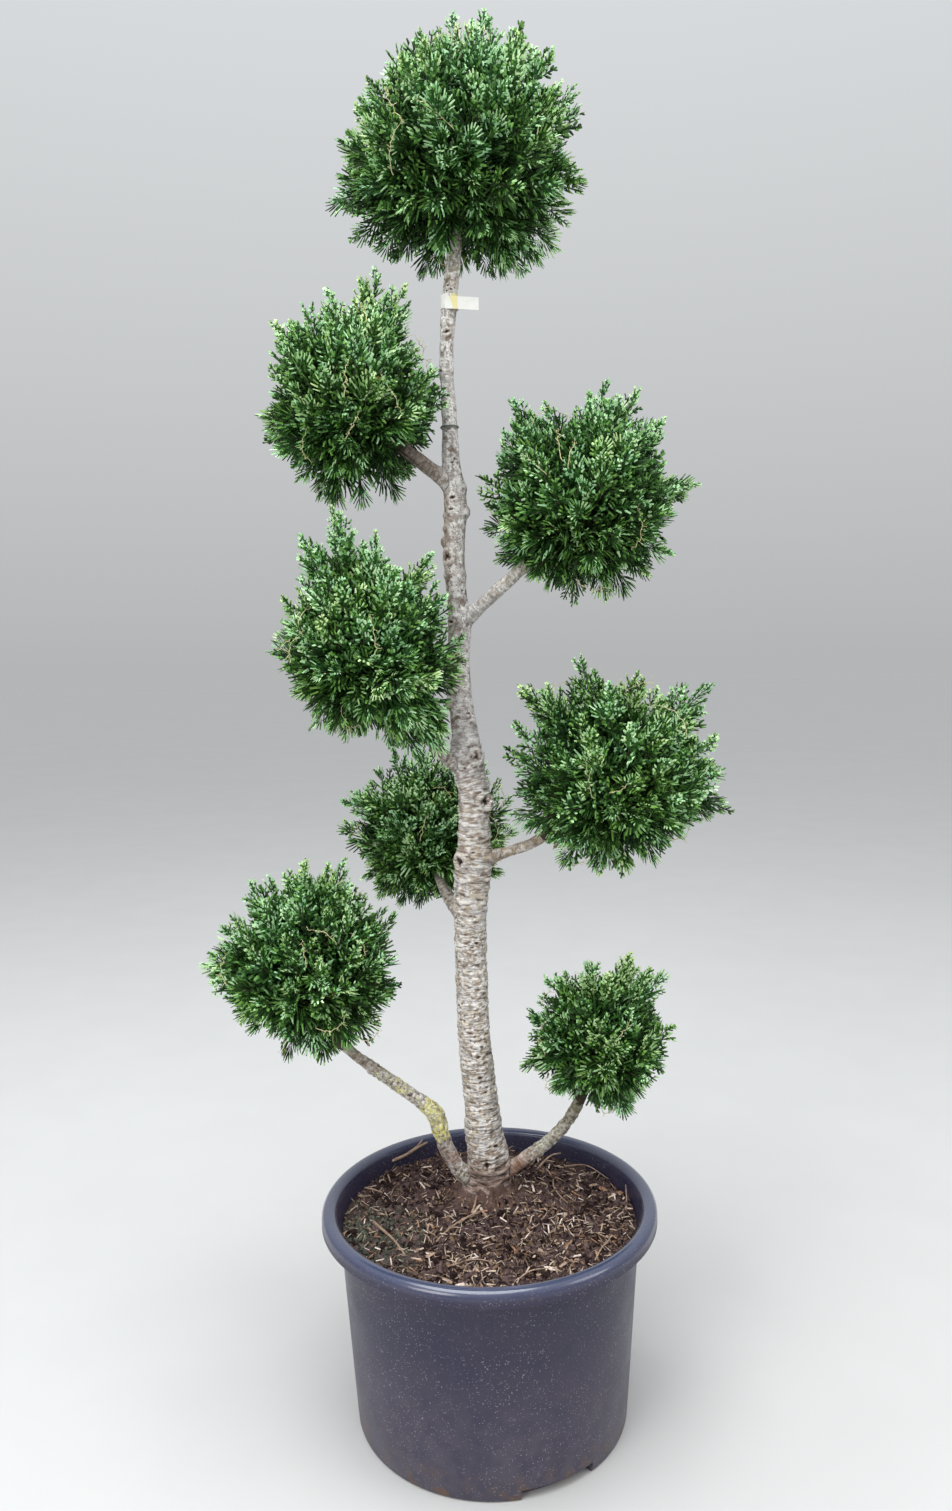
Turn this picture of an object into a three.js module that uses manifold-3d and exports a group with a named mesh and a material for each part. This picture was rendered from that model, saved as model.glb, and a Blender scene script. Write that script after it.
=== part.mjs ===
// A hinoki cypress clipped into eight round pads, growing in a round nursery container.
// Millimetres, +Z up. Seen from the front, +X is to the right and +Y is away from the viewer.
// The origin is the centre of the container's flat underside.
import * as THREE from "three";
import { mergeVertices } from "three/addons/utils/BufferGeometryUtils.js";
import Module from "manifold-3d";

const wasm = await Module();
wasm.setup();

const V = (x, y, z) => new THREE.Vector3(x, y, z);
const UP = V(0, 0, 1);

// Clearance between two neighbouring pieces
const GAP = 0.3;

// Container: a moulded shell with a rolled rim and drain notches in its foot
const FOOT_RADIUS = 131.5;
const FOOT_CHAMFER = 3;
const SHOULDER_RADIUS = 144.5;
const SHOULDER_HEIGHT = 192;
const RIM_RADIUS = 161.5;
const RIM_TOP = 210.5;
const ROLL_RADIUS = 7.4;
const ROLL_SKIRT = 7;
const ROLL_STEPS = 4;
const WALL = 2.2;
const FLOOR = 3;
const CORNER_INSET = 21;
const CORNER_RISE = 19;
const ROUND_SIDES = 32;
const NOTCH_COUNT = 3;
const NOTCH_AZIMUTH = THREE.MathUtils.degToRad(-65);
const NOTCH_ARC = THREE.MathUtils.degToRad(32);
const NOTCH_HEIGHT = 10;
const NOTCH_DEPTH = 10;
const NOTCH_STEPS = 4;

// Soil: fills the container, a little uneven, with a flat-topped mound at the trunk's foot
const SOIL_EDGE = 190;
const SOIL_RISE = 3;
const SOIL_RIPPLE = 1.6;
const SOIL_FINE_RIPPLE = 1;
const SOIL_WAVES = [21, 17, 11];
const SOIL_RINGS = [0.86, 0.66, 0.42, 0.18];
const MOUND_TOP = 196;
const MOUND_RADIUS = 33;
const MOUND_SKIRT = 12;
const MOUND_SIDES = 18;

// Trunk stations from below its flat cut at soil level to its tip: height, x, y and radius
const TRUNK_CUT = MOUND_TOP + GAP;
const TRUNK = [
  [189, -2, 41, 28.5],
  [196, -1, 41, 25.5],
  [203, 0, 41, 22.6],
  [213, 1, 41, 20.8],
  [233, 1, 41, 20.6],
  [257, -3, 41, 18.4],
  [290, -5, 41, 16.7],
  [345, -10, 40, 16.0],
  [394, -12, 40, 15.4],
  [437, -12.5, 40, 15.6],
  [481, -12.5, 40, 15.8],
  [521, -9.5, 40, 17.2],
  [536, -8, 39, 18.6],
  [552, -7.5, 39, 15.8],
  [574, -7, 39, 15.0],
  [600, -7, 39, 15.4],
  [617, -9.6, 40, 14.5],
  [636, -13.2, 40, 16.6],
  [654, -13.4, 40, 13.8],
  [673, -15.5, 41, 12.2],
  [692, -18, 41, 11.8],
  [737, -18.6, 41, 10.8],
  [764, -17.2, 41, 11.4],
  [783, -18.4, 41, 9.6],
  [811, -20.4, 40, 9.8],
  [844, -20.5, 40, 10.1],
  [878, -18.6, 40, 10.9],
  [899, -20.6, 40, 10.3],
  [916, -22.2, 40, 8.6],
  [944, -22.8, 40, 7.6],
  [980, -24, 40, 7.0],
  [1018, -24.6, 41, 6.5],
  [1046, -22.5, 41, 7.4],
  [1079, -19.1, 41, 7.3],
  [1108, -15.5, 40, 6.9],
  [1160, -11.5, 40, 5.9],
  [1215, -8, 40, 4.6],
  [1268, -4, 40, 2.4],
];
const TRUNK_SIDES = 12;
// Root flare: shallow buttresses that fade out above the soil
const FLARE_LOBES = 5;
const FLARE_DEPTH = 0.1;
const FLARE_HEIGHT = 30;

// Knots on the trunk: height, azimuth in degrees (-90 faces the front), radius, how far it stands out
const KNOTS = [
  [593, -28, 6.5, 2.4],
  [640, -42, 7, 2.6],
  [692, 200, 5.5, 2.2],
  [861, 205, 5, 1.9],
];

// Boughs: stations from inside the trunk to where the limb enters its mass: x, y, z and radius
const BOUGHS = {
  bough_upper_left: [
    [-20.5, 40, 893, 9.2],
    [-29, 38, 902, 8.2],
    [-42, 34, 911, 7.0],
    [-56, 29, 921, 6.3],
    [-68, 25, 930, 5.9],
  ],
  bough_upper_right: [
    [-17.5, 41, 761, 8.2],
    [-8, 39.5, 771, 7.2],
    [8, 36, 786, 6.3],
    [28, 32, 803, 6.0],
    [48, 28, 820, 5.7],
  ],
  bough_middle_left: [
    [-12, 40, 622, 8.2],
    [-24, 34, 630, 7.2],
    [-37, 24, 643, 6.4],
    [-48, 12, 660, 5.9],
    [-58, 4, 678, 5.5],
  ],
  bough_middle_right: [
    [-7.5, 39, 529, 8.2],
    [8, 37, 537, 6.6],
    [27, 33, 544, 5.7],
    [46, 27, 551, 5.5],
    [61, 21, 561, 5.2],
  ],
  bough_rear: [
    [-12, 40, 462, 7.2],
    [-22, 58, 474, 6.2],
    [-34, 80, 489, 5.4],
    [-43, 102, 504, 4.9],
    [-47, 116, 516, 4.6],
  ],
  bough_lower_left: [
    [-7, 40, 206, 8.8],
    [-21, 37, 212, 8.0],
    [-31, 34, 226, 7.6],
    [-40, 30, 245, 7.6],
    [-45.5, 27, 263, 7.8],
    [-51.5, 24, 285, 8.3],
    [-68, 21, 301, 6.6],
    [-98, 16, 326, 6.0],
    [-124, 13, 348, 5.7],
    [-139, 12, 362, 5.5],
  ],
  bough_lower_right: [
    [7, 41, 208, 8.6],
    [23, 39, 219, 7.4],
    [44, 36, 235, 6.6],
    [63, 34, 250, 6.4],
    [78, 32, 267, 6.2],
    [88, 31, 282, 5.6],
    [93, 30.6, 292, 5.4],
  ],
};
const BOUGH_SIDES = 8;
const BOUGH_RINGS = 2;

// Foliage masses. reach holds the distance from the centre to the furthest leaf at eight bearings,
// seen from the front: right, right and up, up, left and up, left, left and down, down, right and down.
// depth is the reach towards and away from the viewer. leaders are taller shoots: x and z from the centre.
const MASSES = {
  foliage_top: {
    centre: [-10, 40, 1202],
    reach: [117, 116, 104, 97, 116, 127, 108, 130],
    depth: 112,
    bough: null,
    leaders: [[16, 113], [66, 100], [-16, 108], [-37, 104], [-65, 76], [-126, -48], [122, -30], [61, -118]],
  },
  foliage_upper_left: {
    centre: [-111, 10, 970],
    reach: [88, 88, 92, 90, 89, 97, 100, 102],
    depth: 90,
    bough: "bough_upper_left",
    leaders: [[26, 121], [-20, 104], [52, 102], [-74, 72]],
  },
  foliage_upper_right: {
    centre: [101, 20, 878],
    reach: [92, 95, 89, 101, 100, 99, 99, 102],
    depth: 94,
    bough: "bough_upper_right",
    leaders: [[22, 110], [55, 103], [78, 75], [-68, 95], [-36, 92], [111, 13]],
  },
  foliage_middle_left: {
    centre: [-104, -20, 750],
    reach: [93, 90, 87, 79, 90, 99, 100, 104],
    depth: 88,
    bough: "bough_middle_left",
    leaders: [[-25, 122], [-56, 98], [14, 99], [65, 79]],
  },
  foliage_middle_right: {
    centre: [126, 0, 625],
    reach: [101, 98, 89, 107, 105, 107, 98, 98],
    depth: 98,
    bough: "bough_middle_right",
    leaders: [[-34, 109], [96, 81], [-92, 82], [21, 94], [113, -43]],
  },
  foliage_rear: {
    centre: [-53, 153, 548],
    reach: [97, 93, 90, 92, 97, 92, 87, 92],
    depth: 88,
    bough: "bough_rear",
    leaders: [[-98, 36], [-62, -78]],
  },
  foliage_lower_left: {
    centre: [-169, 10, 447],
    reach: [102, 88, 86, 89, 99, 88, 97, 109],
    depth: 92,
    bough: "bough_lower_left",
    leaders: [[-2, 99], [23, 95], [-55, 79], [38, 98], [-107, -5]],
  },
  foliage_lower_right: {
    centre: [114, 30, 358],
    reach: [75, 79, 72, 79, 74, 79, 81, 78],
    depth: 76,
    bough: "bough_lower_right",
    leaders: [[31, 84], [-15, 79], [67, 64], [-57, 61], [25, -89], [-82, -31]],
  },
};
const SEED = 20;
const SEED_STEP = 7;

// How each mass grows, as shares of its reach in the direction of growth
const CORE_SHARE = 0.76;
const CORE_DETAIL = 2;
const CORE_UNEVEN = 0.035;
const CORE_WAVES = [7, 6, 7];
const HUB_DROP = 0.12;
const FORK_COUNT = 9;
const FORK_SHARE = 0.42;
const SPRAY_COUNT = 30;
const ROOT_SHARE = 0.54;
const TWIG_SHARE = 0.64;
const LEADER_TWIG_SHARE = 0.9;
const REACH_LOW = 0.97;
const REACH_SPREAD = 0.07;
const JITTER = 0.16;
const LIFT = 0.06;
const TWIST = 0.7;
const UPRIGHT_LIMIT = 0.1;
const LIMB_CLEARANCE = 1;
const SPACE_CLEARANCE = 1;

// Sprays are toothed fans, thickest at the heart, and twigs are three-sided
const FAN_TEETH = 3;
const FAN_SPAN = 0.68;
const FAN_NOTCH = 0.72;
const FAN_SHOULDER = 0.12;
const FAN_ROOT = 0.08;
const FAN_HEART = 0.55;
const FAN_THICKNESS = 3.2;
const LEADER_SPAN = 0.34;
const TWIG_SIDES = 3;
const TWIG_ROOT_RADIUS = 2.4;
const STEM_LEAD = 9;
const STEM_LEAD_TAPER = 0.3;
const STEM_HUB_RADIUS = 3;
const TOP_STEM_LENGTH = 18;
const TOP_STEM_TIP_RADIUS = 1.2;

// Label: a plain loop round the upper trunk with a flag standing out to the right
const LABEL_HEIGHT = 1065;
const LABEL_WIDTH = 12.6;
const LABEL_LOOP_RADIUS = 9.1;
const LABEL_SIDES = 16;
const FLAG_LENGTH = 28;
const FLAG_THICKNESS = 0.9;
const FLAG_TURN = THREE.MathUtils.degToRad(4);

const MATERIALS = {
  plastic: { color: 0x2c313c, roughness: 0.55, metalness: 0 },
  soil: { color: 0x33251c, roughness: 1, metalness: 0 },
  bark: { color: 0x96897b, roughness: 0.9, metalness: 0 },
  foliage: { color: 0x1f4f28, roughness: 0.8, metalness: 0 },
  label: { color: 0xf2f0e2, roughness: 0.6, metalness: 0 },
};

const RANDOM_FACTOR = 1664525;
const RANDOM_STEP = 1013904223;
const RANDOM_RANGE = 2 ** 32;
const MERGE_DISTANCE = 1e-4;

// Repeatable random numbers from 0 to 1, by a linear congruential rule
function seededRandom(seed) {
  let state = seed >>> 0;
  return () => {
    state = (Math.imul(state, RANDOM_FACTOR) + RANDOM_STEP) >>> 0;
    return state / RANDOM_RANGE;
  };
}

// A closed three.js geometry as a solid that can be joined and cut
function solidOf(geometry) {
  const bare = new THREE.BufferGeometry();
  bare.setAttribute("position", geometry.getAttribute("position"));
  bare.setIndex(geometry.index);
  const merged = mergeVertices(bare, MERGE_DISTANCE);
  const corners = merged.index.array;
  const triangles = [];
  for (let i = 0; i < corners.length; i += 3) {
    const [a, b, c] = [corners[i], corners[i + 1], corners[i + 2]];
    if (a !== b && b !== c && c !== a) triangles.push(a, b, c);
  }
  const mesh = new wasm.Mesh({
    numProp: 3,
    vertProperties: merged.attributes.position.array,
    triVerts: new Uint32Array(triangles),
  });
  return new wasm.Manifold(mesh);
}

// A solid as flat-shaded three.js geometry
function geometryOf(solid) {
  const mesh = solid.getMesh();
  const shared = new THREE.BufferGeometry();
  shared.setAttribute("position", new THREE.BufferAttribute(mesh.vertProperties, 3));
  shared.setIndex(new THREE.BufferAttribute(mesh.triVerts, 1));
  const flat = shared.toNonIndexed();
  flat.computeVertexNormals();
  return flat;
}

// The largest body of a solid, without loose scraps or sealed hollows
function largestBody(solid) {
  return solid.decompose().reduce((a, b) => (b.volume() > a.volume() ? b : a));
}

function namedMesh(name, solid, material, position = V(0, 0, 0)) {
  const mesh = new THREE.Mesh(geometryOf(solid), new THREE.MeshStandardMaterial(MATERIALS[material]));
  mesh.name = name;
  mesh.position.copy(position);
  return mesh;
}

// Centre, radius and direction at share t of a limb's stations
function limbAt(curve, stations, t) {
  const along = t * (stations.length - 1);
  const low = Math.min(Math.floor(along), stations.length - 2);
  const radius = THREE.MathUtils.lerp(stations[low].radius, stations[low + 1].radius, along - low);
  return { centre: curve.getPoint(t), radius, direction: curve.getTangent(t) };
}

// One tapering limb: a capped cylinder bent along its stations.
// grow makes it thicker all round, and longer at its tip, to cut room for it out of a neighbour.
function limbSolid(stations, sides, { rings, grow = 0, swell = null }) {
  const curve = new THREE.CatmullRomCurve3(stations.map((s) => s.centre), false, "centripetal");
  const geometry = new THREE.CylinderGeometry(1, 1, 1, sides, rings);
  const frames = [];
  let normal = V(1, 0, 0);
  for (let ring = 0; ring <= rings; ring++) {
    const frame = limbAt(curve, stations, ring / rings);
    normal = normal.clone().addScaledVector(frame.direction, -normal.dot(frame.direction)).normalize();
    frame.normal = normal;
    frame.across = V(0, 0, 0).crossVectors(normal, frame.direction);
    frames.push(frame);
  }
  const places = geometry.getAttribute("position");
  for (let i = 0; i < places.count; i++) {
    const ring = Math.round((places.getY(i) + 0.5) * rings);
    const frame = frames[ring];
    const azimuth = Math.atan2(-places.getZ(i), places.getX(i));
    const swelling = swell ? swell(azimuth, frame.centre.z) : 1;
    const radius = frame.radius * swelling + grow;
    const point = frame.centre
      .clone()
      .addScaledVector(frame.normal, places.getX(i) * radius)
      .addScaledVector(frame.across, places.getZ(i) * radius);
    if (ring === rings) point.addScaledVector(frame.direction, grow);
    places.setXYZ(i, point.x, point.y, point.z);
  }
  return solidOf(geometry);
}

const trunkStations = TRUNK.map(([z, x, y, radius]) => ({ centre: V(x, y, z), radius }));
const boughStations = Object.fromEntries(
  Object.entries(BOUGHS).map(([name, stations]) => [
    name,
    stations.map(([x, y, z, radius]) => ({ centre: V(x, y, z), radius })),
  ]),
);

function rootFlare(azimuth, z) {
  const fade = Math.max(0, 1 - (z - MOUND_TOP) / FLARE_HEIGHT);
  return 1 + FLARE_DEPTH * fade * fade * Math.cos(FLARE_LOBES * azimuth + 1);
}

// The trunk's centre and radius at a height
function trunkAt(z) {
  const above = trunkStations.findIndex((s) => s.centre.z >= z);
  const [low, high] = [trunkStations[above - 1], trunkStations[above]];
  const share = (z - low.centre.z) / (high.centre.z - low.centre.z);
  return {
    centre: low.centre.clone().lerp(high.centre, share),
    radius: THREE.MathUtils.lerp(low.radius, high.radius, share),
  };
}

function knotSolid([height, azimuth, radius, proud], grow) {
  const { centre, radius: trunkRadius } = trunkAt(height);
  const turn = THREE.MathUtils.degToRad(azimuth);
  const out = trunkRadius + proud - radius;
  const knot = new THREE.IcosahedronGeometry(radius + grow, 1);
  knot.translate(centre.x + out * Math.cos(turn), centre.y + out * Math.sin(turn), height);
  return solidOf(knot);
}

function uncutTrunk(grow) {
  const rings = trunkStations.length - 1;
  const limb = limbSolid(trunkStations, TRUNK_SIDES, { rings, grow, swell: rootFlare });
  return KNOTS.reduce((solid, knot) => solid.add(knotSolid(knot, grow)), limb);
}

// The trunk stands on a flat cut at soil level
function trunkSolid() {
  const size = 4 * MOUND_RADIUS;
  const ground = new THREE.BoxGeometry(size, size, size);
  ground.translate(0, trunkStations[0].centre.y, TRUNK_CUT - size / 2);
  return uncutTrunk(0).subtract(solidOf(ground));
}

const trunkRoom = uncutTrunk(GAP);

function uncutBough(name, grow) {
  const rings = (boughStations[name].length - 1) * BOUGH_RINGS;
  return limbSolid(boughStations[name], BOUGH_SIDES, { rings, grow });
}

function boughSolid(name) {
  return largestBody(uncutBough(name, 0).subtract(trunkRoom));
}

// The container's section from the axis under its floor, over the rim and back to the axis
function containerSection() {
  const rollCentre = new THREE.Vector2(RIM_RADIUS - ROLL_RADIUS, RIM_TOP - ROLL_RADIUS);
  const roll = (radius, step) => {
    const angle = (Math.PI * step) / ROLL_STEPS;
    const spoke = new THREE.Vector2(Math.cos(angle), Math.sin(angle));
    return spoke.multiplyScalar(radius).add(rollCentre);
  };
  const section = [
    new THREE.Vector2(0, 0),
    new THREE.Vector2(FOOT_RADIUS - FOOT_CHAMFER, 0),
    new THREE.Vector2(FOOT_RADIUS, FOOT_CHAMFER),
    new THREE.Vector2(SHOULDER_RADIUS, SHOULDER_HEIGHT),
  ];
  for (let step = ROLL_STEPS; step >= 0; step--) section.push(roll(ROLL_RADIUS - WALL, step));
  section.push(new THREE.Vector2(RIM_RADIUS - WALL, rollCentre.y - ROLL_SKIRT));
  section.push(new THREE.Vector2(RIM_RADIUS, rollCentre.y - ROLL_SKIRT));
  for (let step = 0; step <= ROLL_STEPS; step++) section.push(roll(ROLL_RADIUS, step));
  section.push(new THREE.Vector2(SHOULDER_RADIUS - WALL, SHOULDER_HEIGHT));
  section.push(new THREE.Vector2(insideRadius(FLOOR + CORNER_RISE), FLOOR + CORNER_RISE));
  section.push(new THREE.Vector2(FOOT_RADIUS - WALL - CORNER_INSET, FLOOR));
  section.push(new THREE.Vector2(0, FLOOR));
  return section;
}

function insideRadius(z) {
  const share = z / SHOULDER_HEIGHT;
  return THREE.MathUtils.lerp(FOOT_RADIUS, SHOULDER_RADIUS, share) - WALL;
}

function notchSolid(index) {
  const middle = NOTCH_AZIMUTH + (2 * Math.PI * index) / NOTCH_COUNT;
  const [start, end] = [middle - NOTCH_ARC / 2, middle + NOTCH_ARC / 2];
  const inner = FOOT_RADIUS - NOTCH_DEPTH;
  const outer = FOOT_RADIUS + NOTCH_DEPTH;
  const sector = new THREE.Shape();
  sector.absarc(0, 0, outer, start, end, false);
  sector.absarc(0, 0, inner, end, start, true);
  sector.closePath();
  const block = new THREE.ExtrudeGeometry(sector, {
    depth: 2 * NOTCH_HEIGHT,
    bevelEnabled: false,
    curveSegments: NOTCH_STEPS,
  });
  block.translate(0, 0, -NOTCH_HEIGHT);
  return solidOf(block);
}

// A profile of radius and height turned about the Z axis
function turned(section) {
  const lathe = new THREE.LatheGeometry(section, ROUND_SIDES);
  lathe.rotateX(Math.PI / 2);
  return lathe;
}

function containerSolid() {
  let solid = solidOf(turned(containerSection()));
  for (let index = 0; index < NOTCH_COUNT; index++) solid = solid.subtract(notchSolid(index));
  return solid;
}

function soilHeight(x, y) {
  const out = Math.hypot(x, y) / SHOULDER_RADIUS;
  const ripple = SOIL_RIPPLE * Math.sin(x / SOIL_WAVES[0] + 1) * Math.cos(y / SOIL_WAVES[1]);
  const fine = SOIL_FINE_RIPPLE * Math.sin((x + y) / SOIL_WAVES[2]);
  return SOIL_EDGE + SOIL_RISE * (1 - out * out) + ripple + fine;
}

function soilSolid() {
  const edge = insideRadius(SOIL_EDGE) - GAP;
  const section = [
    new THREE.Vector2(0, FLOOR + GAP),
    new THREE.Vector2(FOOT_RADIUS - WALL - CORNER_INSET - GAP, FLOOR + GAP),
    new THREE.Vector2(insideRadius(FLOOR + CORNER_RISE) - GAP, FLOOR + CORNER_RISE + GAP),
    new THREE.Vector2(edge, SOIL_EDGE),
  ];
  for (const share of SOIL_RINGS) section.push(new THREE.Vector2(edge * share, SOIL_EDGE));
  section.push(new THREE.Vector2(0, SOIL_EDGE));
  const bed = turned(section);
  const places = bed.getAttribute("position");
  for (let i = 0; i < places.count; i++) {
    const [x, y] = [places.getX(i), places.getY(i)];
    const onTop = places.getZ(i) > SOIL_EDGE - GAP && Math.hypot(x, y) < edge - GAP;
    if (onTop) places.setZ(i, soilHeight(x, y));
  }
  const foot = trunkStations[0].centre;
  const skirt = MOUND_RADIUS + MOUND_SKIRT;
  const mound = new THREE.CylinderGeometry(MOUND_RADIUS, skirt, MOUND_SKIRT, MOUND_SIDES);
  mound.rotateX(Math.PI / 2);
  mound.translate(foot.x, foot.y, MOUND_TOP - MOUND_SKIRT / 2);
  return solidOf(bed).add(solidOf(mound));
}

// The reach of a mass in a direction from its centre
function reachAlong(mass, direction) {
  const bearing = (Math.atan2(direction.z, direction.x) / (Math.PI / 4) + 8) % 8;
  const low = Math.floor(bearing);
  const blend = (1 - Math.cos(Math.PI * (bearing - low))) / 2;
  const inView = THREE.MathUtils.lerp(mass.reach[low % 8], mass.reach[(low + 1) % 8], blend);
  const sideways = Math.hypot(direction.x, direction.z);
  return 1 / Math.hypot(sideways / inView, direction.y / mass.depth);
}

// Even directions all round, each moved a little at random
function spreadDirections(count, random) {
  const directions = [];
  const turn = Math.PI * (3 - Math.sqrt(5));
  for (let i = 0; i < count; i++) {
    const z = 1 - (2 * i + 1) / count;
    const ring = Math.sqrt(1 - z * z);
    const nudge = V(random() - 0.5, random() - 0.5, random() - 0.5).multiplyScalar(2 * JITTER);
    directions.push(V(ring * Math.cos(i * turn), ring * Math.sin(i * turn), z).add(nudge).normalize());
  }
  return directions;
}

// The turn that lays +Y along a direction and stands the XY plane upright, then twists it about +Y
function uprightTurn(direction, twist) {
  const normal = V(0, 0, 0).crossVectors(direction, UP);
  if (normal.length() < UPRIGHT_LIMIT) normal.set(1, 0, 0);
  normal.addScaledVector(direction, -normal.dot(direction)).normalize();
  const across = V(0, 0, 0).crossVectors(direction, normal);
  const turn = new THREE.Quaternion();
  turn.setFromRotationMatrix(new THREE.Matrix4().makeBasis(across, direction, normal));
  return turn.multiply(new THREE.Quaternion().setFromAxisAngle(V(0, 1, 0), twist));
}

// A fan of teeth that spreads along +Y from a narrow root at the origin, flat in X and Y
function fanOutline({ length, span }) {
  const root = length * FAN_ROOT;
  const outline = [new THREE.Vector2(root, 0)];
  const steps = 2 * (FAN_TEETH - 1);
  for (let step = 0; step <= steps; step++) {
    const side = 1 - (2 * step) / steps;
    const isTip = step % 2 === 0;
    const far = length * (isTip ? 1 - FAN_SHOULDER * Math.abs(side) : FAN_NOTCH);
    const angle = span * side;
    outline.push(new THREE.Vector2(far * Math.sin(angle), far * Math.cos(angle)));
  }
  outline.push(new THREE.Vector2(-root, 0));
  return outline;
}

// A blade of two flat cones, base to base, whose shared rim is drawn out to the fan's outline
function spraySolid(spray) {
  const outline = fanOutline(spray);
  const section = [new THREE.Vector2(0, -1), new THREE.Vector2(1, 0), new THREE.Vector2(0, 1)];
  const blade = new THREE.LatheGeometry(section, outline.length);
  const places = blade.getAttribute("position");
  for (let i = 0; i < places.count; i++) {
    const side = (i % section.length) - 1;
    const corner = outline[Math.floor(i / section.length) % outline.length];
    if (side === 0) places.setXYZ(i, corner.x, corner.y, 0);
    else places.setXYZ(i, 0, FAN_HEART * spray.length, (side * FAN_THICKNESS) / 2);
  }
  blade.applyQuaternion(spray.turn);
  blade.translate(spray.root.x, spray.root.y, spray.root.z);
  return solidOf(blade);
}

// A straight three-sided twig that tapers to a point
function twigSolid(from, to) {
  const way = to.clone().sub(from);
  const twig = new THREE.ConeGeometry(TWIG_ROOT_RADIUS, way.length(), TWIG_SIDES);
  twig.translate(0, way.length() / 2, 0);
  twig.applyQuaternion(uprightTurn(way.clone().normalize(), 0));
  twig.translate(from.x, from.y, from.z);
  return solidOf(twig);
}

function coreSolid(mass, seed) {
  const core = new THREE.IcosahedronGeometry(1, CORE_DETAIL);
  const places = core.getAttribute("position");
  for (let i = 0; i < places.count; i++) {
    const direction = V(0, 0, 0).fromBufferAttribute(places, i).normalize();
    const waves = V(...CORE_WAVES).multiply(direction);
    const lump = Math.sin(waves.x + seed) * Math.sin(waves.y) * Math.cos(waves.z);
    const out = reachAlong(mass, direction) * (CORE_SHARE + CORE_UNEVEN * lump);
    places.setXYZ(i, direction.x * out, direction.y * out, direction.z * out);
  }
  return solidOf(core);
}

const limbs = [trunkStations, ...Object.values(boughStations)];

// Whether a point, given in the part's frame, is too close to the trunk or a bough
function touchesLimb(point) {
  return limbs.some((stations) =>
    stations.slice(1).some((end, i) => {
      const start = stations[i];
      const line = new THREE.Line3(start.centre, end.centre);
      const nearest = line.closestPointToPoint(point, true, V(0, 0, 0));
      return nearest.distanceTo(point) < Math.max(start.radius, end.radius) + LIMB_CLEARANCE;
    }),
  );
}

// Whether a point, given in the part's frame, is inside another mass's space
function leavesSpace(name, point) {
  return Object.entries(MASSES).some(([other, mass]) => {
    if (other === name) return false;
    const out = point.clone().sub(V(...mass.centre));
    return out.length() < reachAlong(mass, out.clone().normalize()) + SPACE_CLEARANCE;
  });
}

function sprayFits(name, centre, spray) {
  const corners = fanOutline(spray).map((corner) =>
    V(corner.x, corner.y, 0).applyQuaternion(spray.turn).add(spray.root).add(centre),
  );
  const middles = corners.map((corner, i) => corner.clone().lerp(corners[(i + 1) % corners.length], 0.5));
  return [...corners, ...middles].every((point) => !touchesLimb(point) && !leavesSpace(name, point));
}

// Where a mass's twigs start: its stem's end, a little below the middle of the mass
function hubOf(mass) {
  return V(0, 0, -HUB_DROP * mass.reach[6]);
}

// Sprays by the branching rule: stem to hub, hub to forks, and from the nearest fork a twig to each spray
function growth(mass, random) {
  const hub = hubOf(mass);
  const forks = spreadDirections(FORK_COUNT, random).map((direction) =>
    direction.multiplyScalar(FORK_SHARE * reachAlong(mass, direction)),
  );
  const nearestFork = (point) =>
    forks.reduce((a, b) => (b.distanceTo(point) < a.distanceTo(point) ? b : a));
  const sprays = [];
  const addSpray = (direction, tipReach, span, twigShare, lift) => {
    const reach = reachAlong(mass, direction);
    const root = direction.clone().multiplyScalar(ROOT_SHARE * reach);
    const growing = direction.clone().addScaledVector(UP, lift).normalize();
    sprays.push({
      root,
      span,
      length: tipReach - root.length(),
      turn: uprightTurn(growing, TWIST * (2 * random() - 1)),
      fork: nearestFork(root),
      twigEnd: direction.clone().multiplyScalar(twigShare * reach),
    });
  };
  for (const direction of spreadDirections(SPRAY_COUNT, random)) {
    const share = REACH_LOW + REACH_SPREAD * random();
    addSpray(direction, share * reachAlong(mass, direction), FAN_SPAN, TWIG_SHARE, LIFT);
  }
  for (const [x, z] of mass.leaders) {
    const tip = V(x, (random() - 0.5) * JITTER * mass.depth, z);
    addSpray(tip.clone().normalize(), tip.length(), LEADER_SPAN, LEADER_TWIG_SHARE, 0);
  }
  return { hub, forks, sprays };
}

// The mass's own stem, from 0.3 mm clear of the limb that carries it to the hub
function stemSolid(mass, centre, hub) {
  const carrier = mass.bough ? boughStations[mass.bough] : trunkStations;
  const last = carrier[carrier.length - 1];
  const before = carrier[carrier.length - 2];
  const direction = last.centre.clone().sub(before.centre).normalize();
  const start = last.centre.clone().addScaledVector(direction, GAP).sub(centre);
  const lead = start.clone().addScaledVector(direction, STEM_LEAD);
  const end = mass.bough ? hub : start.clone().addScaledVector(direction, TOP_STEM_LENGTH);
  const endRadius = mass.bough ? STEM_HUB_RADIUS : TOP_STEM_TIP_RADIUS;
  const stations = [
    { centre: start, radius: last.radius },
    { centre: lead, radius: THREE.MathUtils.lerp(last.radius, endRadius, STEM_LEAD_TAPER) },
    { centre: end, radius: endRadius },
  ];
  return limbSolid(stations, BOUGH_SIDES, { rings: stations.length - 1 });
}

function massSolid(name, mass, seed) {
  const centre = V(...mass.centre);
  const { hub, forks, sprays } = growth(mass, seededRandom(seed));
  const fitting = sprays.filter((spray) => sprayFits(name, centre, spray));
  const pieces = [
    coreSolid(mass, seed),
    stemSolid(mass, centre, hub),
    ...forks.map((fork) => twigSolid(hub, fork)),
    ...fitting.map((spray) => twigSolid(spray.fork, spray.twigEnd)),
    ...fitting.map(spraySolid),
  ];
  const joined = wasm.Manifold.union(pieces);
  const room = mass.bough ? uncutBough(mass.bough, GAP).add(trunkRoom) : trunkRoom;
  return largestBody(joined.subtract(room.translate([-centre.x, -centre.y, -centre.z])));
}

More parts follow.
